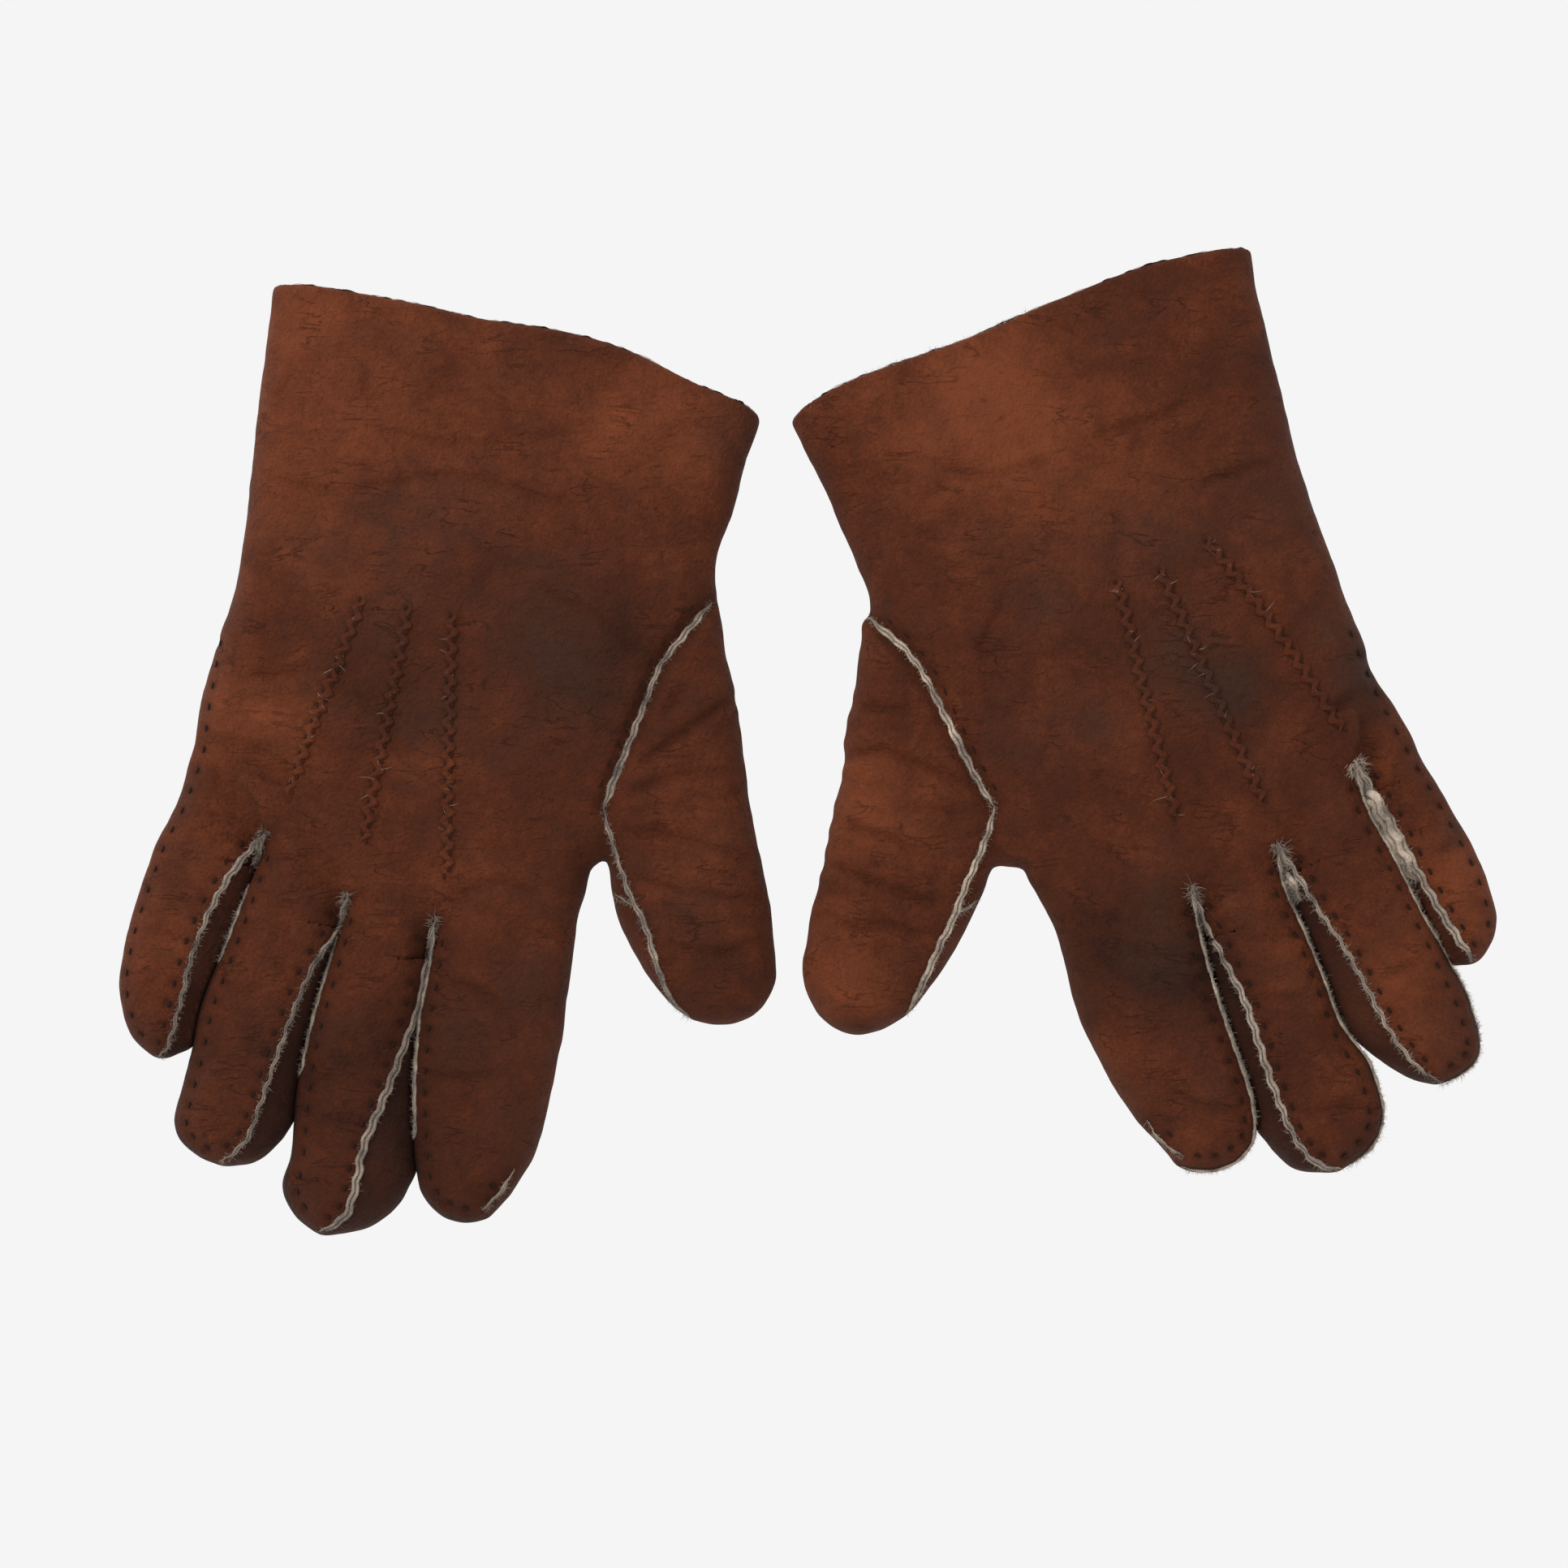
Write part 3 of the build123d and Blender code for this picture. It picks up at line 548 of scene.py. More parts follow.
def leather(name, dark, mid, light):
    """Clouded suede-like leather: dye patches, smoky stains, fine veins that also carry painted shade of fine
    wrinkles, pores and wrinkles.
    """
    n = Nodes(name)
    blotch = n.noise(0.22, 4, 0.6, 0.3)
    level = n.math("MULTIPLY_ADD", n.attribute("tone"), 0.42, 0.5)
    for cloud, weight in ((n.noise(0.055, 5, 0.62, 0.6), 0.5), (blotch, 0.26), (n.noise(1.3, 3, 0.65), 0.3)):
        level = n.math("MULTIPLY_ADD", n.math("SUBTRACT", cloud, 0.5), weight, level)
    colour = n.ramp(level, (0.22, dark), (0.5, mid), (0.78, light))

    ragged = n.math("MULTIPLY_ADD", n.noise(0.16, 5, 0.7, 0.8), 2.2, -0.35)
    stain = n.math("MULTIPLY", n.attribute("smoke"), ragged)
    haze = n.ramp(n.noise(0.07, 3, 0.6), (0.5, BLACK), (0.75, WHITE))
    stain = n.math("MAXIMUM", n.math("MULTIPLY_ADD", haze, 0.3, stain), 0.0)
    colour = n.mix("MIX", n.math("MINIMUM", stain, 0.85), colour, rgb(56, 34, 25))

    # Fine lines running across the fingers, darkened in the colour and pressed in as bumps: vein marks and
    # painted shade in fine wrinkles.
    stretch = n.new("VectorMath")
    stretch.operation = "MULTIPLY"
    contours = n.noise(0.16, 5, 0.5, 0.5, n.wire(stretch, {0: n.at, 1: (0.4, 1.5, 1)}, "Vector"))
    ridge = n.math("ABSOLUTE", n.math("SUBTRACT", contours, 0.5))
    where = n.ramp(n.noise(0.11, 2, 0.5), (0.5, BLACK), (0.66, WHITE))
    vein_and_wrinkle_shade = n.math("MULTIPLY", n.ramp(ridge, (0.0, WHITE), (0.022, BLACK)), where)
    pores = n.wire(n.new("TexVoronoi"), {"Vector": n.at, "Scale": 1.5}, "Distance")
    pores = n.ramp(pores, (0.0, WHITE), (0.22, BLACK))
    # The colour darkens at vein lines, near seams, with painted shade in creases, dents and bead grooves, and
    # at pores.
    for mark, weight, shade in ((vein_and_wrinkle_shade, 0.32, (0.45, 0.38, 0.36)),
                                (n.attribute("seam"), 0.3, (0.42, 0.34, 0.32)),
                                (n.attribute("painted_shade"), 0.5, (0.35, 0.27, 0.25)),
                                (pores, 0.35, (0.5, 0.42, 0.4))):
        colour = n.mix("MULTIPLY", n.math("MULTIPLY", mark, weight), colour, shade)

    grain = n.new("TexVoronoi")
    grain.feature = "SMOOTH_F1"
    normal = n.bump(n.noise(0.38, 4, 0.6, 0.8), 0.0015, 0.7)
    normal = n.bump(n.math("MULTIPLY", vein_and_wrinkle_shade, -1.0), 0.0006, 0.8, normal)
    normal = n.bump(n.wire(grain, {"Vector": n.at, "Scale": 1.1}, "Distance"), 0.00045, 0.7, normal)
    normal = n.bump(n.noise(2.6, 3, 0.7), 0.0004, 0.8, normal)
    return n.finish({"Base Color": colour, "Roughness": n.math("MULTIPLY_ADD", blotch, 0.25, 0.58),
                     "Specular IOR Level": 0.1, "Sheen Weight": 0.03, "Sheen Roughness": 0.4,
                     "Sheen Tint": (0.9, 0.55, 0.4, 1), "Normal": normal})


def wool(name, dark, light):
    n = Nodes(name)
    clumps = n.math("MULTIPLY", n.noise(0.13, 2, 0.6), 0.6)
    level = n.math("MULTIPLY_ADD", n.noise(1.6, 4, 0.7, 1.5), 0.6, clumps)
    colour = n.ramp(level, (0.44, dark), (0.76, light))
    # Painted shade in the groove between the rolls and under their edges.
    colour = n.mix("MULTIPLY", n.attribute("painted_shade"), colour, (0.2, 0.14, 0.12))
    return n.finish({"Base Color": colour, "Roughness": 0.95, "Specular IOR Level": 0.15, "Sheen Weight": 0.3,
                     "Sheen Roughness": 0.6, "Normal": n.bump(n.noise(1.1, 4, 0.7, 2.5), 0.0009, 0.8)})


def thread_material():
    n = Nodes("waxed_thread")
    twist = n.new("TexWave")
    twist.bands_direction = "DIAGONAL"
    strand = n.wire(twist, {"Vector": n.at, "Scale": 1.6, "Distortion": 0.6}, "Fac")
    return n.finish({"Base Color": n.ramp(strand, (0.0, rgb(24, 12, 8)), (1.0, rgb(44, 23, 15))),
                     "Roughness": 0.7, "Specular IOR Level": 0.15, "Normal": n.bump(strand, 0.0002, 0.6)})


LEATHER = leather("shearling_leather", rgb(40, 17, 7), rgb(72, 32.5, 15), rgb(105, 52.5, 28.5))
# A darker copy of the leather for the side panels between the fingers: partly their own leather, partly
# painted shade between the fingers.
SHADED_FORK_LEATHER = leather("fourchette_leather", rgb(30, 14, 8), rgb(50, 23, 13), rgb(72, 36, 20))
# Painted shade: a darker copy of the leather for the lumps that stand for the needle pits.
PIT_SHADE_LEATHER = leather("pit_shade_leather", rgb(38, 20, 13), rgb(52, 27, 18), rgb(66, 35, 22))
FLEECE = wool("sheep_fleece", rgb(110, 96, 86), rgb(206, 196, 184))
SEAM_FLEECE = {"right": wool("worn_fleece", rgb(56, 40, 32), rgb(192, 171, 148)),
               "left": wool("bright_fleece", rgb(92, 72, 58), rgb(228, 208, 184))}
THREAD = thread_material()


# ---------------------------------------------------------------- bodies and bends
JOINTS = {j["name"]: j for j in frame["joints"]}


def hinge(body):
    """Pivot in millimetres and the plan direction in which the moving part points."""
    joint = JOINTS[body + "_bend"]
    ax, ay = joint["axis"][:2]
    return np.array(joint["pos_m"][:2]) * 1000, np.array([ay, -ax])


def attach(obj, side, part):
    """A piece that is not a finger or thumb rides on the hand. A finger or thumb piece only has its place
    baked into its points, and follows no body.
    """
    if part not in ("thumb", *FINGERS):
        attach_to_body(obj, side + "_hand")
        return
    pivot, along = hinge(side + "_" + part)
    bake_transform(obj)


# ---------------------------------------------------------------- one glove
class Glove:
    """One glove: a skin from plan outlines, cut into panels, with its seams, points, stitches and fleece."""
    def __init__(self, side):
        self.side = side
        self.plan = GLOVES[side]
        self.turn = self.plan["turn"]
        self.rng = np.random.default_rng(SEEDS[side])
        self.loops = {k: curve(self.plan[k], 1.2, True) for k in ("hand", "thumb", *FINGERS)}
        self.thumb_seam = curve(self.plan["thumb_seam"], 1.0)
        self.tip_seam = curve(self.plan["tip_seam"], 1.0)
        self.radial = {f: curve(p, 1.0) for f, p in self.plan["radial_seams"].items()}
        self.ulnar = {f: curve(p, 1.0) for f, p in self.plan["ulnar_seams"].items()}
        self.make_fields()
        self.make_surface()

    def distances(self, xy, gap):
        """Inside distances of the fingers after gaps between them are cut."""
        d = {f: bilinear(self.raw[f], self.origin, xy) for f in FINGERS}
        for f, beside in NEIGHBOURS:
            d[f] = np.minimum(d[f], -d[beside] - gap)
        return d

    def owners(self, xy):
        """The part that each plan point belongs to: hand, thumb or a finger beyond its root."""
        digits = self.distances(xy, TOUCH)
        stack = np.stack([digits[f] for f in FINGERS])
        winner = stack.argmax(0)
        owner = np.full(len(xy), "hand", object)
        for k, f in enumerate(FINGERS):
            pivot, along = hinge(self.side + "_" + f)
            owner[(winner == k) & (stack[k] > -3) & ((xy - pivot) @ along > ROOT_OFFSET)] = f
        owner[bilinear(self.raw["thumb"], self.origin, xy) > 0] = "thumb"
        return owner, digits

    def make_fields(self):
        """Plan grids: inside distances, thickness, distance past the cuff's edge, webs between fingers."""
        boxes = [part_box(n) for n in frame["nodes"] if n.startswith(self.side)]
        low = np.array([min(b[0][k] for b in boxes) for k in range(2)]) * 1000 - MARGIN
        high = np.array([max(b[1][k] for b in boxes) for k in range(2)]) * 1000 + MARGIN
        self.origin = low
        count = np.ceil((high - low) / VOXEL).astype(int) + 1
        gx, gy = np.meshgrid(low[0] + np.arange(count[0]) * VOXEL, low[1] + np.arange(count[1]) * VOXEL,
                             indexing="ij")
        xy = np.stack([gx.ravel(), gy.ravel()], 1)
        self.raw = {f: inside_distance(xy, self.loops[f]).reshape(count) for f in FINGERS}
        fence = np.vstack([self.thumb_seam, np.array(self.plan["thumb_fence"], float)])
        self.raw["thumb"] = inside_distance(xy, fence).reshape(count)
        hand = inside_distance(xy, self.loops["hand"])
        thumb = inside_distance(xy, self.loops["thumb"])
        cut = self.distances(xy, SLIT)
        fingers = np.maximum.reduce([cut[f] for f in FINGERS])
        shapes = {"spread": fingers, **self.distances(xy, TOUCH)}
        fields = {k: soft_max(soft_max(hand, v, FINGER_BLEND), thumb, THUMB_BLEND) for k, v in shapes.items()}
        far, side = line_distance(xy, curve(self.plan["cuff"], 1.0))
        above = far * side
        height = PALM_HEIGHT + CROWN * smooth((fields["spread"] - EDGE_RADIUS) / CROWN_REACH)
        height = height + (CUFF_HEIGHT - PALM_HEIGHT - CROWN) * smooth(1 + above / CUFF_SLOPE)
        in_little = cut["little"] > fingers - 1e-6
        height = height + (LITTLE_HEIGHT - PALM_HEIGHT) * smooth((cut["little"] + 4) / 5) * in_little
        groove, _ = line_distance(xy, self.thumb_seam)
        height = height - GROOVE_DEPTH * np.exp(-(groove / GROOVE_WIDTH) ** 2)
        web = np.full(len(xy), -9.0)
        for a, b in zip(FINGERS[:-1], FINGERS[1:]):
            gap = np.minimum(self.raw[a].ravel(), self.raw[b].ravel()) + 2
            behind = [ROOT_OFFSET + 1.0 - (xy - pivot) @ along
                      for pivot, along in (hinge(self.side + "_" + f) for f in (a, b))]
            web = np.maximum(web, np.minimum(gap, np.maximum(*behind)))
        fields.update(height=height, above=above, hand=hand, web=web)
        self.fields = {k: v.reshape(count) for k, v in fields.items()}

    def at_plan(self, key, xy):
        return bilinear(self.fields[key], self.origin, xy)

    def pillow(self, spread, height, z):
        """Distance to a flat cushion of the given thickness with round edges."""
        half = height / 2
        edge = (EDGE_RADIUS - np.minimum(spread, EDGE_RADIUS)) / EDGE_RADIUS
        return (np.sqrt(edge ** 2 + ((z - half) / half) ** 2) - 1) * half

    def extract(self, key, box=(0, None, 0, None)):
        """Skin of the hand and all fingers, or of the hand and one finger inside a plan box."""
        i0, i1, j0, j1 = box
        z = np.arange(*LEVELS, VOXEL)
        spread, height, above, hand, web = (self.fields[k][i0:i1, j0:j1, None]
                                            for k in (key, "height", "above", "hand", "web"))
        zz = z[None, None, :]
        shell = self.pillow(spread, height, zz)
        depth = np.minimum(hand - WALL - 1.0, LINING_DEPTH + above)
        inner = height / 2 - WALL
        edge = np.clip((MOUTH_RADIUS - depth) / MOUTH_RADIUS, 0, None)
        hollow = (np.sqrt(edge ** 2 + ((zz - height / 2) / inner) ** 2) - 1) * inner
        # Near the roots a sheet joins neighbouring fingers; in the darker fourchette leather it is partly the
        # crotch gusset and partly a dark sheet standing in for shade deep in the slit.
        if key == "spread":
            sheet = np.maximum(-web, np.abs(zz - WEB_LEVEL) - WEB_LEVEL + 1)
            shell = -soft_max(-shell, -sheet, 1.5)
        solid = soft_max(shell, -hollow, 1.0)
        solid = soft_max(solid, np.broadcast_to(above, solid.shape), 2.0)
        grid = vdb.FloatGrid(BAND)
        grid.copyFromArray(np.clip(solid, -BAND, BAND).astype(np.float32))
        points, quads = grid.convertToQuads(0.0)
        corner = np.array([self.origin[0] + i0 * VOXEL, self.origin[1] + j0 * VOXEL, z[0]])
        points = np.asarray(points, float) * VOXEL + corner
        quads = np.asarray(quads, int)
        normals = vertex_normals(points, quads)
        if normals[points[:, 2] > TOP_LEVEL][:, 2].mean() < 0:
            quads = quads[:, ::-1]
        owner, _ = self.owners(points[quads].mean(1)[:, :2])
        mine = (owner == "hand") | (owner == "thumb") if key == "spread" else owner == key
        return points, quads[mine]

    def make_surface(self):
        """Joins the skins of the hand, thumb and fingers, and merges the points that they share."""
        skins = [self.extract("spread")]
        for f in FINGERS:
            low = np.floor((self.loops[f].min(0) - SKIN_MARGIN - self.origin) / VOXEL).astype(int)
            high = np.ceil((self.loops[f].max(0) + SKIN_MARGIN - self.origin) / VOXEL).astype(int)
            low = np.maximum(low, 0)
            skins.append(self.extract(f, (low[0], high[0], low[1], high[1])))
        points = np.vstack([p for p, _ in skins])
        offsets = np.cumsum([0] + [len(p) for p, _ in skins[:-1]])
        quads = np.vstack([q + o for (_, q), o in zip(skins, offsets)])
        used, index = np.unique(quads, return_inverse=True)
        quads = index.reshape(quads.shape)
        points = points[used]
        keys = np.round(points * MERGE_PER_MM).astype(int)
        _, first, merged = np.unique(keys, axis=0, return_index=True, return_inverse=True)
        self.rest_points = points[first]
        self.quads = merged.reshape(-1)[quads]
        self.displace(self.rest_points, vertex_normals(self.rest_points, self.quads))

    def displace(self, points, normals):
        """Sag, seam ridges, creases and stitch dents, and the marks that the materials read, among them
        painted shade in the creases and dents.
        """
        xy = points[:, :2]
        top = smooth((points[:, 2] - 6) / 6)
        move = sum(amount * wobble(points, wavelength, seed) for amount, wavelength, seed in SAG)
        seam_near = np.zeros(len(points))
        painted_shade = np.zeros(len(points))
        thumb_side = curve(self.plan["thumb_side_seam"], 1.0)
        edges = [*self.radial.values(), *self.ulnar.values(), self.tip_seam, thumb_side]
        welts = [curve(p, 1.0) for p in self.plan["points"]]
        for lines, dark, lift, width in ((edges, 1.0, 0.35, 2.4), ([self.thumb_seam], 1.0, 0.0, 2.4),
                                         (welts, 0.45, 0.5, 3.4)):
            for line in lines:
                i, d = near(xy, line, SEAM_REACH)
                seam_near[i] = np.maximum(seam_near[i], dark * np.exp(-(d / SEAM_WIDTH) ** 2))
                move[i] += lift * np.exp(-(d / width) ** 2) * top[i]
        for line, depth in self.plan["creases"]:
            path = curve(line, 1.0)
            i, d = near(xy, path, CREASE_REACH)
            ends = np.minimum.reduce([np.ones(len(i)), *(np.linalg.norm(xy[i] - path[k], axis=1) / 5 + 0.15
                                                         for k in (0, -1))])
            cut = np.exp(-(d / CREASE_WIDTH) ** 2) * ends * top[i]
            lip = np.exp(-((d - LIP_ASIDE) / LIP_WIDTH) ** 2) * ends * top[i]
            move[i] += depth * (LIP_HEIGHT * lip - cut)
            # Painted shade: the crease's valley is darkened in the colour as well.
            painted_shade[i] = np.maximum(painted_shade[i], 0.5 * cut * depth)
        for _, (x, y, _, _) in self.stitch_marks():
            i = np.flatnonzero((np.abs(xy - (x, y)) < DENT_REACH).all(1))
            d = np.linalg.norm(xy[i] - (x, y), axis=1)
            dip = np.exp(-(d / DENT_WIDTH) ** 2) * top[i]
            move[i] -= DENT_DEPTH * dip
            # Painted shade: the leather is darkened in the stitch dent.
            painted_shade[i] = np.maximum(painted_shade[i], 0.8 * dip)
        # The walls between two fingers stay where they are, so that the fingers still meet.
        apart = np.sort(np.stack([-bilinear(self.raw[f], self.origin, xy) for f in FINGERS]), 0)[1]
        height = self.at_plan("height", xy)
        wall = 1 - smooth((np.abs(points[:, 2] / height * 2 - 1) - 0.45) / 0.35)
        move *= 1 - wall * (1 - smooth(apart / 3))
        move *= smooth(-self.at_plan("above", xy) / 9) * 0.8 + 0.2
        self.points = points + normals * move[:, None]
        self.points[:, 2] = np.maximum(self.points[:, 2], 0.0)
        self.normals = vertex_normals(self.points, self.quads)
        self.marks = {"tone": self.patches("tones", points), "seam": seam_near, "painted_shade": painted_shade,
                      "smoke": self.patches("smoke", points)}
        spots = self.points.tolist()
        owner, _ = self.owners(self.rest_points[self.quads].mean(1)[:, :2])
        self.trees = {"all": BVHTree.FromPolygons(spots, self.quads.tolist())}
        for f in FINGERS:
            self.trees[f] = BVHTree.FromPolygons(spots, self.quads[(owner == f) | (owner == "hand")].tolist())

    def patches(self, key, points):
        """Light and dark patches of the dye, as a soft value at every point."""
        value = np.zeros(len(points))
        for x, y, radius, amount in self.plan[key]:
            value += amount * np.exp(-((points[:, 0] - x) ** 2 + (points[:, 1] - y) ** 2) / radius ** 2)
        return value

    def marks_beside(self, line, aside, first, spare):
        """Stitches beside a line, each as its centre and direction (x, y, dx, dy)."""
        length = lengths(line)
        marks = []
        for at in np.arange(first, length[-1] - spare, STITCH_PITCH):
            p = at_length(line, length, at)
            d = unit(at_length(line, length, at + 0.5) - p)
            marks.append((*(p + np.array([-d[1], d[0]]) * aside), *d))
        return marks

    def stitch_marks(self):
        """The fingers' stitches as (finger, mark): beside every seam and along the outer edge."""
        aside = STITCH_ASIDE * self.turn
        rows = [(f, line, -aside) for f, line in self.radial.items()]
        rows += [(f, line, aside) for f, line in self.ulnar.items()]
        rows += [("little", curve(self.plan["outer_stitches"], 1.0), 0.0), ("index", self.tip_seam, -aside)]
        return [(f, mark) for f, line, offset in rows for mark in self.marks_beside(line, offset, 7.0, 2.5)]

    def drape(self, xy, lift=0.0, part="all", roll=None, out=None):
        """Points on the glove under a plan line, with its normals. Roll turns the line down the side."""
        tree = self.trees[part]
        spots = []
        ups = []
        for k, (x, y) in enumerate(xy):
            angle = 0.0 if roll is None else roll[k]
            side = (0.0, 0.0) if out is None else out[k]
            look = Vector((-side[0] * math.sin(angle), -side[1] * math.sin(angle), -math.cos(angle)))
            middle = Vector((x, y, SIDE_LEVEL))
            hit, n, _, _ = tree.ray_cast(middle - look * RAY_START, look)
            if hit is None or (hit - middle).length > RAY_LIMIT:
                hit, n, _, _ = tree.find_nearest(middle)
            spots.append(hit)
            ups.append(n)
        spots = np.array(spots, float)
        ups = np.array(ups, float)
        for _ in range(3):
            spots[1:-1] = (spots[:-2] + 2 * spots[1:-1] + spots[2:]) / 4
            ups[1:-1] = ups[:-2] + ups[1:-1] + ups[2:]
            ups = unit(ups)
        return spots + ups * lift, ups

    # ---- panels
    def panels(self):
        """One object for each leather panel and the lining, cut out of the skin at the seams."""
        rest = self.rest_points[self.quads].mean(1)
        xy = rest[:, :2]
        z = rest[:, 2]
        height = self.at_plan("height", xy)
        inner = self.pillow(self.at_plan("spread", xy), height, z) < -LEATHER_DEPTH
        owner, digits = self.owners(xy)
        upper = z > height / 2
        label = np.where(upper, "trank_back", "trank_palm").astype(object)
        pivot, along = hinge(self.side + "_thumb")
        beyond = (xy - pivot) @ along > 0
        label[(owner == "hand") & beyond & (xy[:, 1] > GUSSET_END)] = "thumb_gusset"
        for f in FINGERS:
            part = np.where(upper, "_back", "_palm").astype(object)
            if f in self.radial:
                _, sign = line_distance(xy, self.radial[f])
                part[(sign * self.turn > 0) & (z > FORK_LOW)] = "_fourchettes"
            if f in self.ulnar:
                dist, sign = line_distance(xy, self.ulnar[f])
                part[(sign * self.turn < 0.0) & (z > FORK_LOW) & (z < FORK_HIGH)] = "_fourchettes"
                rim = (z > FORK_LOW) & (z < RIM_HIGH) & (digits[f] < RIM_WIDTH)
                part[(dist < 1.5) & rim] = "_fourchettes"
            mine = owner == f
            label[mine] = np.char.add(f, part[mine].astype(str))
        in_hand = (owner == "hand") & (label != "thumb_gusset")
        # The crotch between two fingers: partly the gusset's own leather, partly painted shade deep in the
        # slit.
        for outer_f, inner_f in NEIGHBOURS:
            _, a = line_distance(xy, self.radial[outer_f])
            _, b = line_distance(xy, self.ulnar[inner_f])
            crotch = self.radial[outer_f][0]
            closeby = (xy[:, 1] < crotch[1]) & (np.linalg.norm(xy - crotch, axis=1) < ROOT_REACH)
            between = (a * self.turn > 0) & (b * self.turn < 0)
            label[in_hand & closeby & between & (z > FORK_LOW)] = "fourchette_roots"
        label[(owner == "thumb") & upper] = "thumb_back"
        label[(owner == "thumb") & ~upper] = "thumb_palm"
        label[inner & (self.at_plan("above", xy) > LINING_SHOWN)] = "lining"
        for name in sorted(set(label)):
            self.panel(name, self.quads[label == name])

    def panel(self, name, picked):
        used, index = np.unique(picked, return_inverse=True)
        points = self.points[used]
        normals = self.normals[used]
        # Fourchettes and finger crotches take the darker leather, partly painted shade.
        forked = name == "fourchette_roots" or name.endswith("_fourchettes")
        material = SHADED_FORK_LEATHER if forked else LEATHER
        slot = "fourchette_leather" if forked or name == "thumb_gusset" else "leather"
        nodes = (name,)
        if name == "lining":
            material, slot = FLEECE, "fleece"
            nodes = ("back_fleece", "palm_fleece")
            fluff = wobble(points, 2.2, 5) * 0.5 + wobble(points, 5.0, 6) * 0.5
            points = points + normals * fluff[:, None]
            normals = None
        obj = piece(self.side + "_" + name + "_skin", points, [index.reshape(picked.shape)], material, slot,
                    {k: v[used] for k, v in self.marks.items()}, normals)
        attach(obj, self.side, name.split("_")[0])
        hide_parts(*(self.side + "_" + node for node in nodes))

    # ---- seams
    def bead_strip(self, xy, width, wave=0.2, part="all", roll=None, out=None, shade=0.0, ramp_end=0):
        """Two fleece rolls side by side along a draped line, with painted shade in the groove where they
        meet; shade adds painted shade over the whole strip or takes some away. The first ramp_end points
        bridge a crotch.
        """
        spots, ups = self.drape(xy, 0.1, part, roll, out)
        n = len(spots)
        thin = np.ones(n)
        if ramp_end:
            t = np.linspace(0, 1, ramp_end)
            thin[:ramp_end] = 0.45 + 0.55 * t
            bridge = spots[0, 2] * (1 - t) + spots[ramp_end, 2] * t
            spots[:ramp_end, 2] = np.maximum(spots[:ramp_end, 2], bridge)
            ups[:ramp_end] = unit(ups[:ramp_end] * t[:, None] + np.array([0, 0, 1]) * (1 - t[:, None]) * 2)
        along = unit(np.gradient(spots, axis=0))
        side = unit(np.cross(ups, along))
        ups = np.cross(along, side)
        angles = np.radians([215, 165, 115, 70, 35, 8])
        left = [(-0.66 + 0.62 * math.cos(a), 0.1 + 0.66 * math.sin(a)) for a in angles]
        profile = np.array(left + [(-u, v) for u, v in reversed(left)]) * width
        # Painted shade across the profile: darkest where the two rolls meet, some under their outer edges.
        groove = np.array([0.5, 0.15, 0, 0, 0.6, 1.0, 1.0, 0.6, 0, 0, 0.15, 0.5])
        turns = 2 * math.pi * (np.arange(n) * 0.5) / STITCH_PITCH
        fat = 1 + 0.16 * np.cos(turns) + 0.045 * self.rng.standard_normal(n).cumsum()
        fat = np.clip(fat, 0.62, 1.4) * taper(n, 12) * thin
        points, faces = moulding(spots, side, ups, profile, fat, wave * np.sin(turns), fat)
        painted_shade = np.clip(np.tile(groove, n) + shade, 0, 1)
        return roughen(points, 0.2, 0.9, 7), faces, painted_shade, (spots, ups, side)

    def hairs(self, spots, ups, side, per_mm, length, spread, thickness=0.055, band=0.7):
        """Fine curved wool hairs along a line, each a closed sliver."""
        count = max(1, int((len(spots) - 1) * 0.5 * per_mm))
        at = self.rng.random(count) * (len(spots) - 1)
        i = np.floor(at).astype(int)
        f = (at - i)[:, None]
        base = spots[i] * (1 - f) + spots[np.minimum(i + 1, len(spots) - 1)] * f
        across = self.rng.uniform(-1, 1, count)[:, None]
        base = base + side[i] * across * band + ups[i] * 0.2
        heading = side[i] * across * spread + ups[i] * self.rng.uniform(0.3, 1.0, (count, 1))
        heading = unit(heading + self.rng.normal(0, 0.45, (count, 3)))
        reach = length * self.rng.uniform(0.4, 1.0, (count, 1))
        curl = self.rng.normal(0, 0.5, (count, 3)) * reach
        u = unit(np.cross(heading, self.rng.normal(0, 1, (count, 3))))
        v = np.cross(heading, u)
        rows = [base[:, None]]
        for t, r in ((0.3, thickness), (0.65, thickness * 0.8)):
            centre = base + heading * reach * t + curl * t * t
            rows.append(np.stack([centre + r * (u * math.cos(a) + v * math.sin(a)) for a in HAIR_CORNERS], 1))
        rows.append((base + heading * reach + curl)[:, None])
        tri = [(0, 2, 1), (0, 3, 2), (0, 1, 3), (7, 4, 5), (7, 5, 6), (7, 6, 4)]
        quad = [(1, 2, 5, 4), (2, 3, 6, 5), (3, 1, 4, 6)]
        offset = (np.arange(count) * 8)[:, None, None]
        return np.concatenate(rows, 1).reshape(-1, 3), [(np.array(f)[None] + offset).reshape(-1, len(f[0]))
                                                        for f in (tri, quad)]

    def gather(self, name, groups, material, slot, part, node=None, tone=0.0, seam=0.5):
        """One object from several (points, faces) or (points, faces, painted shade) groups."""
        points = np.vstack([group[0] for group in groups])
        painted_shade = np.concatenate([group[2] if len(group) > 2 else np.zeros(len(group[0])) for group in groups])
        by_size = {}
        total = 0
        for group in groups:
            for f in group[1]:
                by_size.setdefault(f.shape[1], []).append(f + total)
            total += len(group[0])
        marks = {"painted_shade": painted_shade, "tone": self.patches("tones", points) + tone,
                 "smoke": self.patches("smoke", points), "seam": np.full(len(points), seam)}
        faces = [np.vstack(v) for v in by_size.values()]
        obj = piece(self.side + "_" + name, points, faces, material, slot, marks)
        attach(obj, self.side, part)
        if node:
            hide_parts(self.side + "_" + node)

    def rolled(self, f, line):
        """How far an outer seam has turned down the side of its finger, and which way is out."""
        u = np.linspace(0, 1, len(line))
        roll = math.radians(self.plan["roll"]) * smooth((u - self.plan["shown"][f]) / 0.16)
        return roll, rightward(line) * self.turn

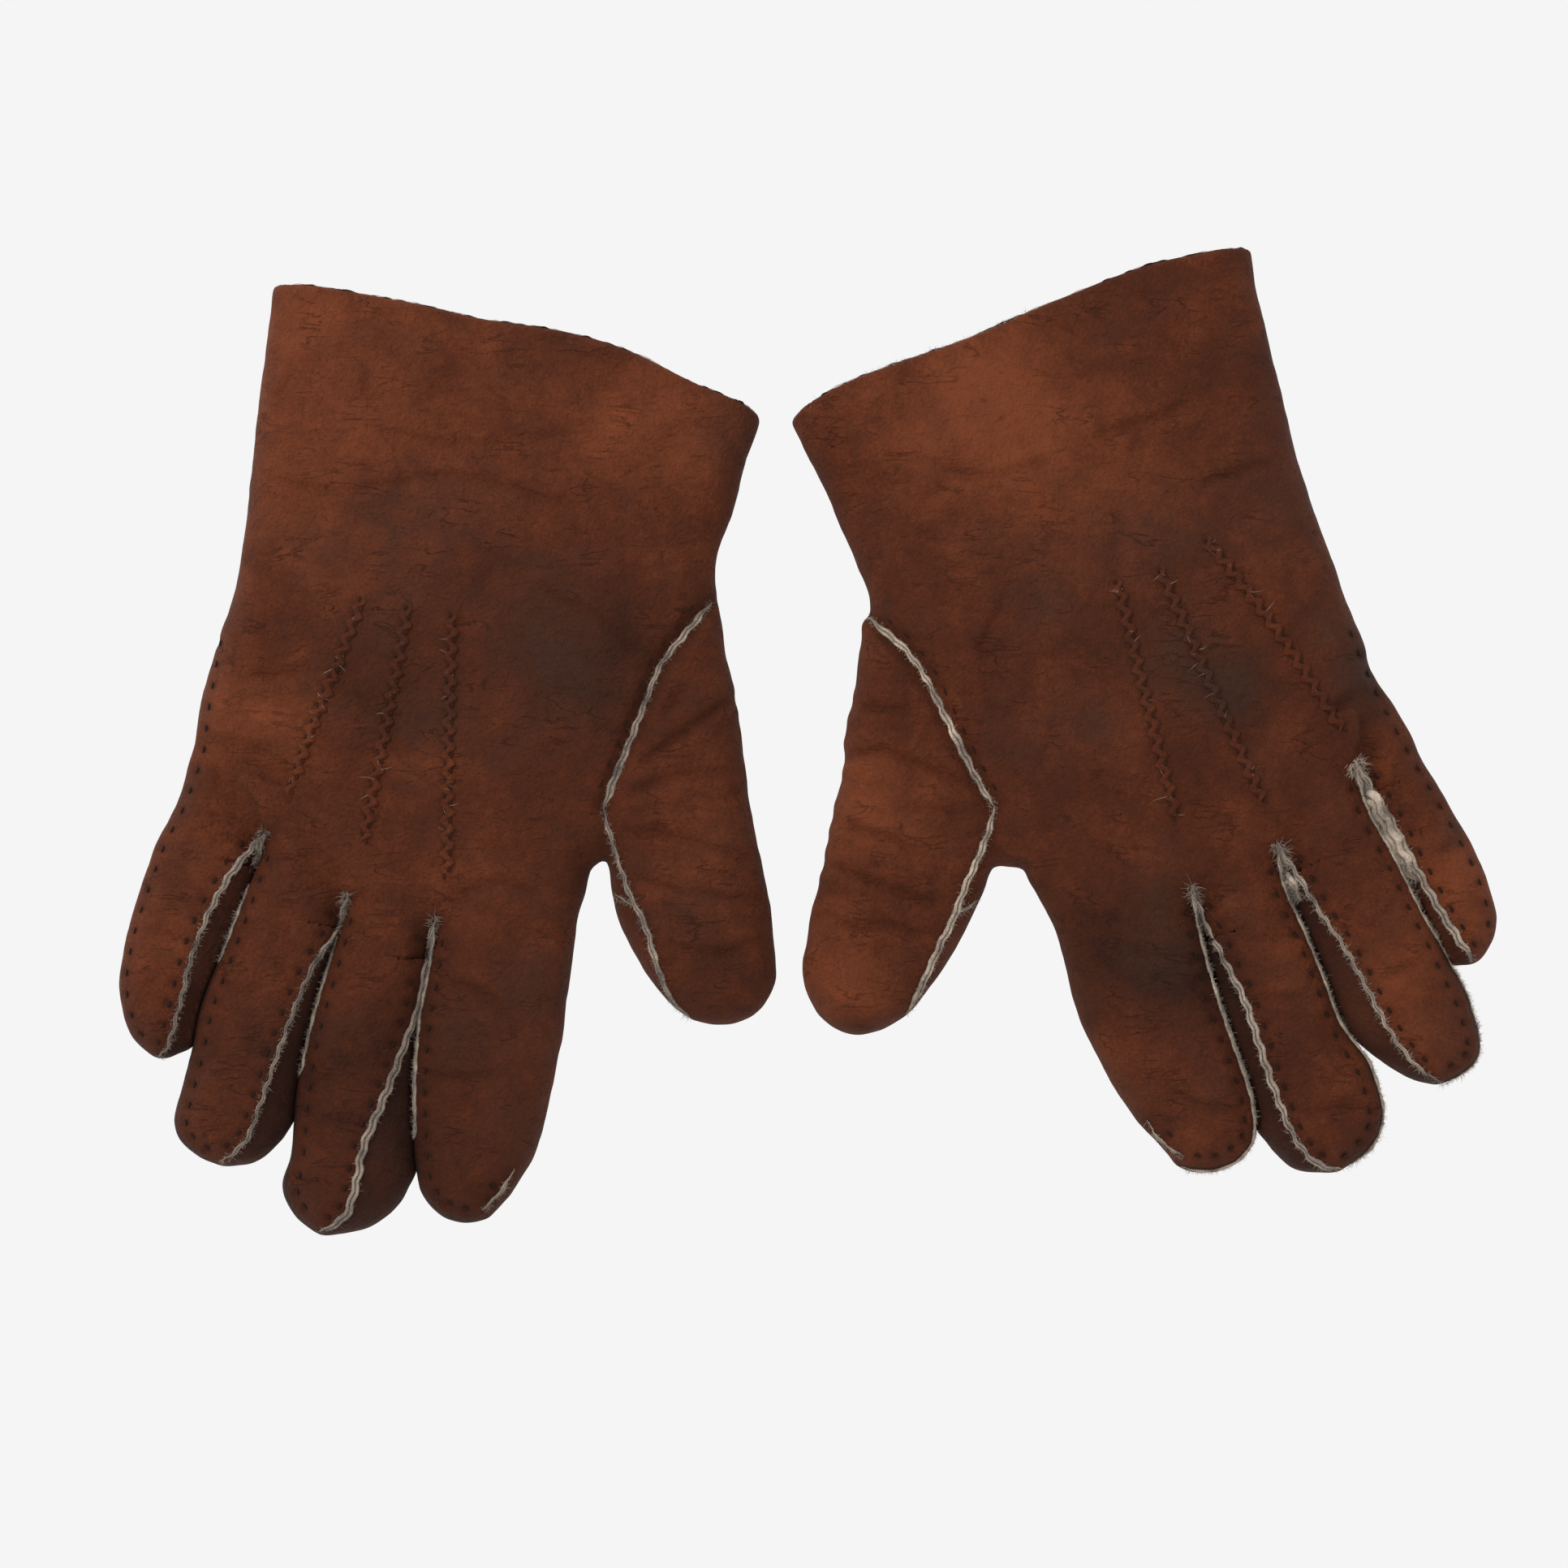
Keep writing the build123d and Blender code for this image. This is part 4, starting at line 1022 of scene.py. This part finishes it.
    def seam_pieces(self):
        """The fleece edge in every seam, its fine hairs, and the wool tufts at the crotches."""
        wool_kind = SEAM_FLEECE[self.side]
        for f in FINGERS:
            strips = []
            if f in self.radial:
                line = curve(self.plan["radial_seams"][f], 0.5)
                # The radial rolls carry extra painted shade.
                strips.append(self.bead_strip(line, RADIAL_WIDTH, 0.3, shade=0.28, ramp_end=CROTCH_STEPS))
            if f in self.ulnar:
                line = curve(self.plan["ulnar_seams"][f], 0.5)
                roll, out = self.rolled(f, line)
                strips.append(self.bead_strip(line, ULNAR_WIDTH, 0.15, f, roll, out, ramp_end=CROTCH_STEPS))
            if f == "index":
                strips.append(self.bead_strip(curve(self.plan["tip_seam"], 0.5), TIP_WIDTH))
            fuzz = []
            for _, _, _, (spots, ups, side) in strips:
                fuzz.append(self.hairs(spots[8:], ups[8:], side[8:], *SEAM_HAIRS))
                fuzz.append(self.hairs(spots[:14], ups[:14], side[:14], *CROTCH_HAIRS, band=0.15))
            if f in self.plan["tufts"]:
                line, width, reach = self.plan["tufts"][f]
                # The tufts' rolls carry less painted shade.
                strips.append(self.bead_strip(curve(line, 0.5), width, 0.5, shade=-0.6, ramp_end=TUFT_STEPS))
                fuzz.append(self.hairs(*strips[-1][3], 30 * width, reach, 1.1, band=width))
            beads = [strip[:3] for strip in strips]
            self.gather(f + "_seam_fleece", beads, wool_kind, "fleece", f, f + "_fleece")
            self.gather(f + "_seam_fuzz", fuzz, wool_kind, "fleece", f)
        strips = []
        fuzz = []
        for key, width in THUMB_WIDTHS.items():
            strips.append(self.bead_strip(curve(self.plan[key], 0.5), width))
            fuzz.append(self.hairs(*strips[-1][3], *THUMB_HAIRS))
        beads = [strip[:3] for strip in strips]
        self.gather("thumb_seam_fleece", beads, wool_kind, "fleece", "thumb", "thumb_fleece")
        self.gather("thumb_seam_fuzz", fuzz, wool_kind, "fleece", "thumb")

    # ---- points
    def point_pieces(self):
        """The three ridges on the back: a raised welt that weaves, small dark lumps beside it as painted
        shade of the needle pits, and a few hairs.
        """
        groups = []
        fuzz = []
        pits = []
        profile = np.array([(1.25 * math.cos(a), math.sin(a)) for a in np.radians(np.linspace(-35, 215, 11))])
        for line in self.plan["points"]:
            spots, ups = self.drape(curve(line, POINT_STEP))
            along = unit(np.gradient(spots, axis=0))
            side = np.cross(ups, along)
            n = len(spots)
            s = np.arange(n) * POINT_STEP
            phase = 2 * math.pi * s / POINT_PITCH
            weave = POINT_WAVE * np.sin(phase)
            wide = taper(n, 8)
            high = (POINT_HEIGHT + 0.1 * np.cos(2 * phase)) * wide
            points, faces = moulding(spots, side, ups, profile, wide, weave, high)
            groups.append((roughen(points, 0.12, 1.4, 11), faces))
            for crest in np.arange(0.25, s[-1] / POINT_PITCH, 0.5):
                q = int(crest * POINT_PITCH / POINT_STEP)
                if q >= n:
                    break
                # Each needle pit is a small dark lump on the surface, painted shade of the pit.
                place = spots[q] + side[q] * -np.sign(weave[q]) * 0.75 + ups[q] * 0.2
                pits.append(capsule(place, along[q], ups[q], *PIT_SIZE))
            for q in self.rng.integers(4, n - 4, STRAYS):
                stray = slice(q - 1, q + 2)
                above = spots[stray] + ups[stray]
                fuzz.append(self.hairs(above, ups[stray] * 0.4, side[stray], *STRAY_HAIRS))
        # Painted highlight: the welts are a little lighter in tone, and the seam darkening leaves them out.
        self.gather("points_welts", groups, LEATHER, "leather", "hand", "points", 0.06, 0.0)
        self.gather("points_pit_shade", pits, PIT_SHADE_LEATHER, "leather", "hand")
        self.gather("points_fuzz", fuzz, SEAM_FLEECE["left"], "fleece", "hand")

    # ---- stitches
    def stitch(self, x, y, dx, dy):
        spots, ups = self.drape([(x + dx * k, y + dy * k) for k in (-0.8, 0, 0.8)], 0.05)
        return capsule(spots[1], unit(spots[2] - spots[0]), ups[1], *STITCH_SIZE)

    def stitch_pieces(self):
        by_part = {}
        for part, mark in self.stitch_marks():
            by_part.setdefault(part, []).append(self.stitch(*mark))
        for part, groups in by_part.items():
            self.gather(part + "_stitches", groups, THREAD, "thread", part)
        groups = [self.stitch(*mark) for mark in self.marks_beside(self.thumb_seam, -2.8 * self.turn, 5, 3)]
        self.gather("hand_stitches", groups, THREAD, "thread", "hand", "stitches")

    # ---- cuff
    def cuff_fuzz(self):
        """Hairs of the lining along the mouth, and the strip of fleece that shows over the left cuff."""
        path = curve(self.plan["cuff"], 0.5)
        path = path[inside_distance(path, self.loops["hand"]) > 5]
        out = rightward(path)
        if out[:, 1].mean() < 0:
            out = -out
        groups = []
        for level in MOUTH_LEVELS:
            spots = np.column_stack([path - out * 3.0, np.full(len(path), level)])
            ups = np.column_stack([out, np.zeros(len(path))])
            groups.append(self.hairs(spots, ups, np.tile((0.0, 0.0, 1.0), (len(path), 1)), *CUFF_HAIRS))
        if self.side == "left":
            edge = path[(path[:, 0] > FLEECE_STRIP[0]) & (path[:, 0] < FLEECE_STRIP[1])]
            spots = np.column_stack([edge + (0.3, -0.9), np.full(len(edge), CUFF_HEIGHT - 2.5)])
            ups, side = (np.tile(v, (len(edge), 1)) for v in ((-0.35, 0.9, 0.3), (0.93, 0.37, 0.0)))
            groups.append(self.hairs(spots, ups, side, *EDGE_HAIRS))
        self.gather("cuff_fuzz", groups, FLEECE, "fleece", "hand")


for side_name in GLOVES:
    glove = Glove(side_name)
    glove.panels()
    glove.seam_pieces()
    glove.point_pieces()
    glove.stitch_pieces()
    glove.cuff_fuzz()

# ---------------------------------------------------------------- stage, light and camera, in metres
scene = bpy.context.scene
scene.view_settings.view_transform = "Standard"
PALE = rgb(245, 245, 245)
world = bpy.data.worlds.new("studio")
world.use_nodes = True
world.node_tree.nodes["Background"].inputs["Color"].default_value = (*PALE, 1)
scene.world = world

# The floor lies below the bent fingers, and throws no shadow up at the palms.
FLOOR_LEVEL = -0.1
FLOOR_SIZE = 6
bpy.ops.mesh.primitive_plane_add(size=FLOOR_SIZE, location=(0, 0, FLOOR_LEVEL))
floor = bpy.context.object
floor.name = "floor"
floor.data.materials.append(Nodes("pale_floor").finish({"Base Color": (*PALE, 1), "Roughness": 0.9}))
floor.visible_camera = False
floor.visible_shadow = False


def lamp(name, place, target, size, power):
    light = bpy.data.lights.new(name, "AREA")
    light.size = size
    light.energy = power
    obj = bpy.data.objects.new(name, light)
    scene.collection.objects.link(obj)
    obj.location = place
    obj.rotation_euler = (Vector(target) - Vector(place)).to_track_quat("-Z", "Y").to_euler()


lamp("key", (-0.6, 0.6, 0.8), (0, 0, 0), 0.5, 9)
lamp("fill", (0.8, -0.3, 0.9), (0, 0, 0), 0.8, 1.5)

LENS = 100
SENSOR = 36
VIEW_WIDTH = 0.4154
VIEW_LEVEL = 0.012
VIEW_CENTRE = (-0.00634, -0.01118)
camera = bpy.data.cameras.new("camera")
camera.lens = LENS
camera.sensor_width = SENSOR
camera_object = bpy.data.objects.new("camera", camera)
scene.collection.objects.link(camera_object)
camera_object.location = (*VIEW_CENTRE, VIEW_LEVEL + VIEW_WIDTH * LENS / SENSOR)
scene.camera = camera_object
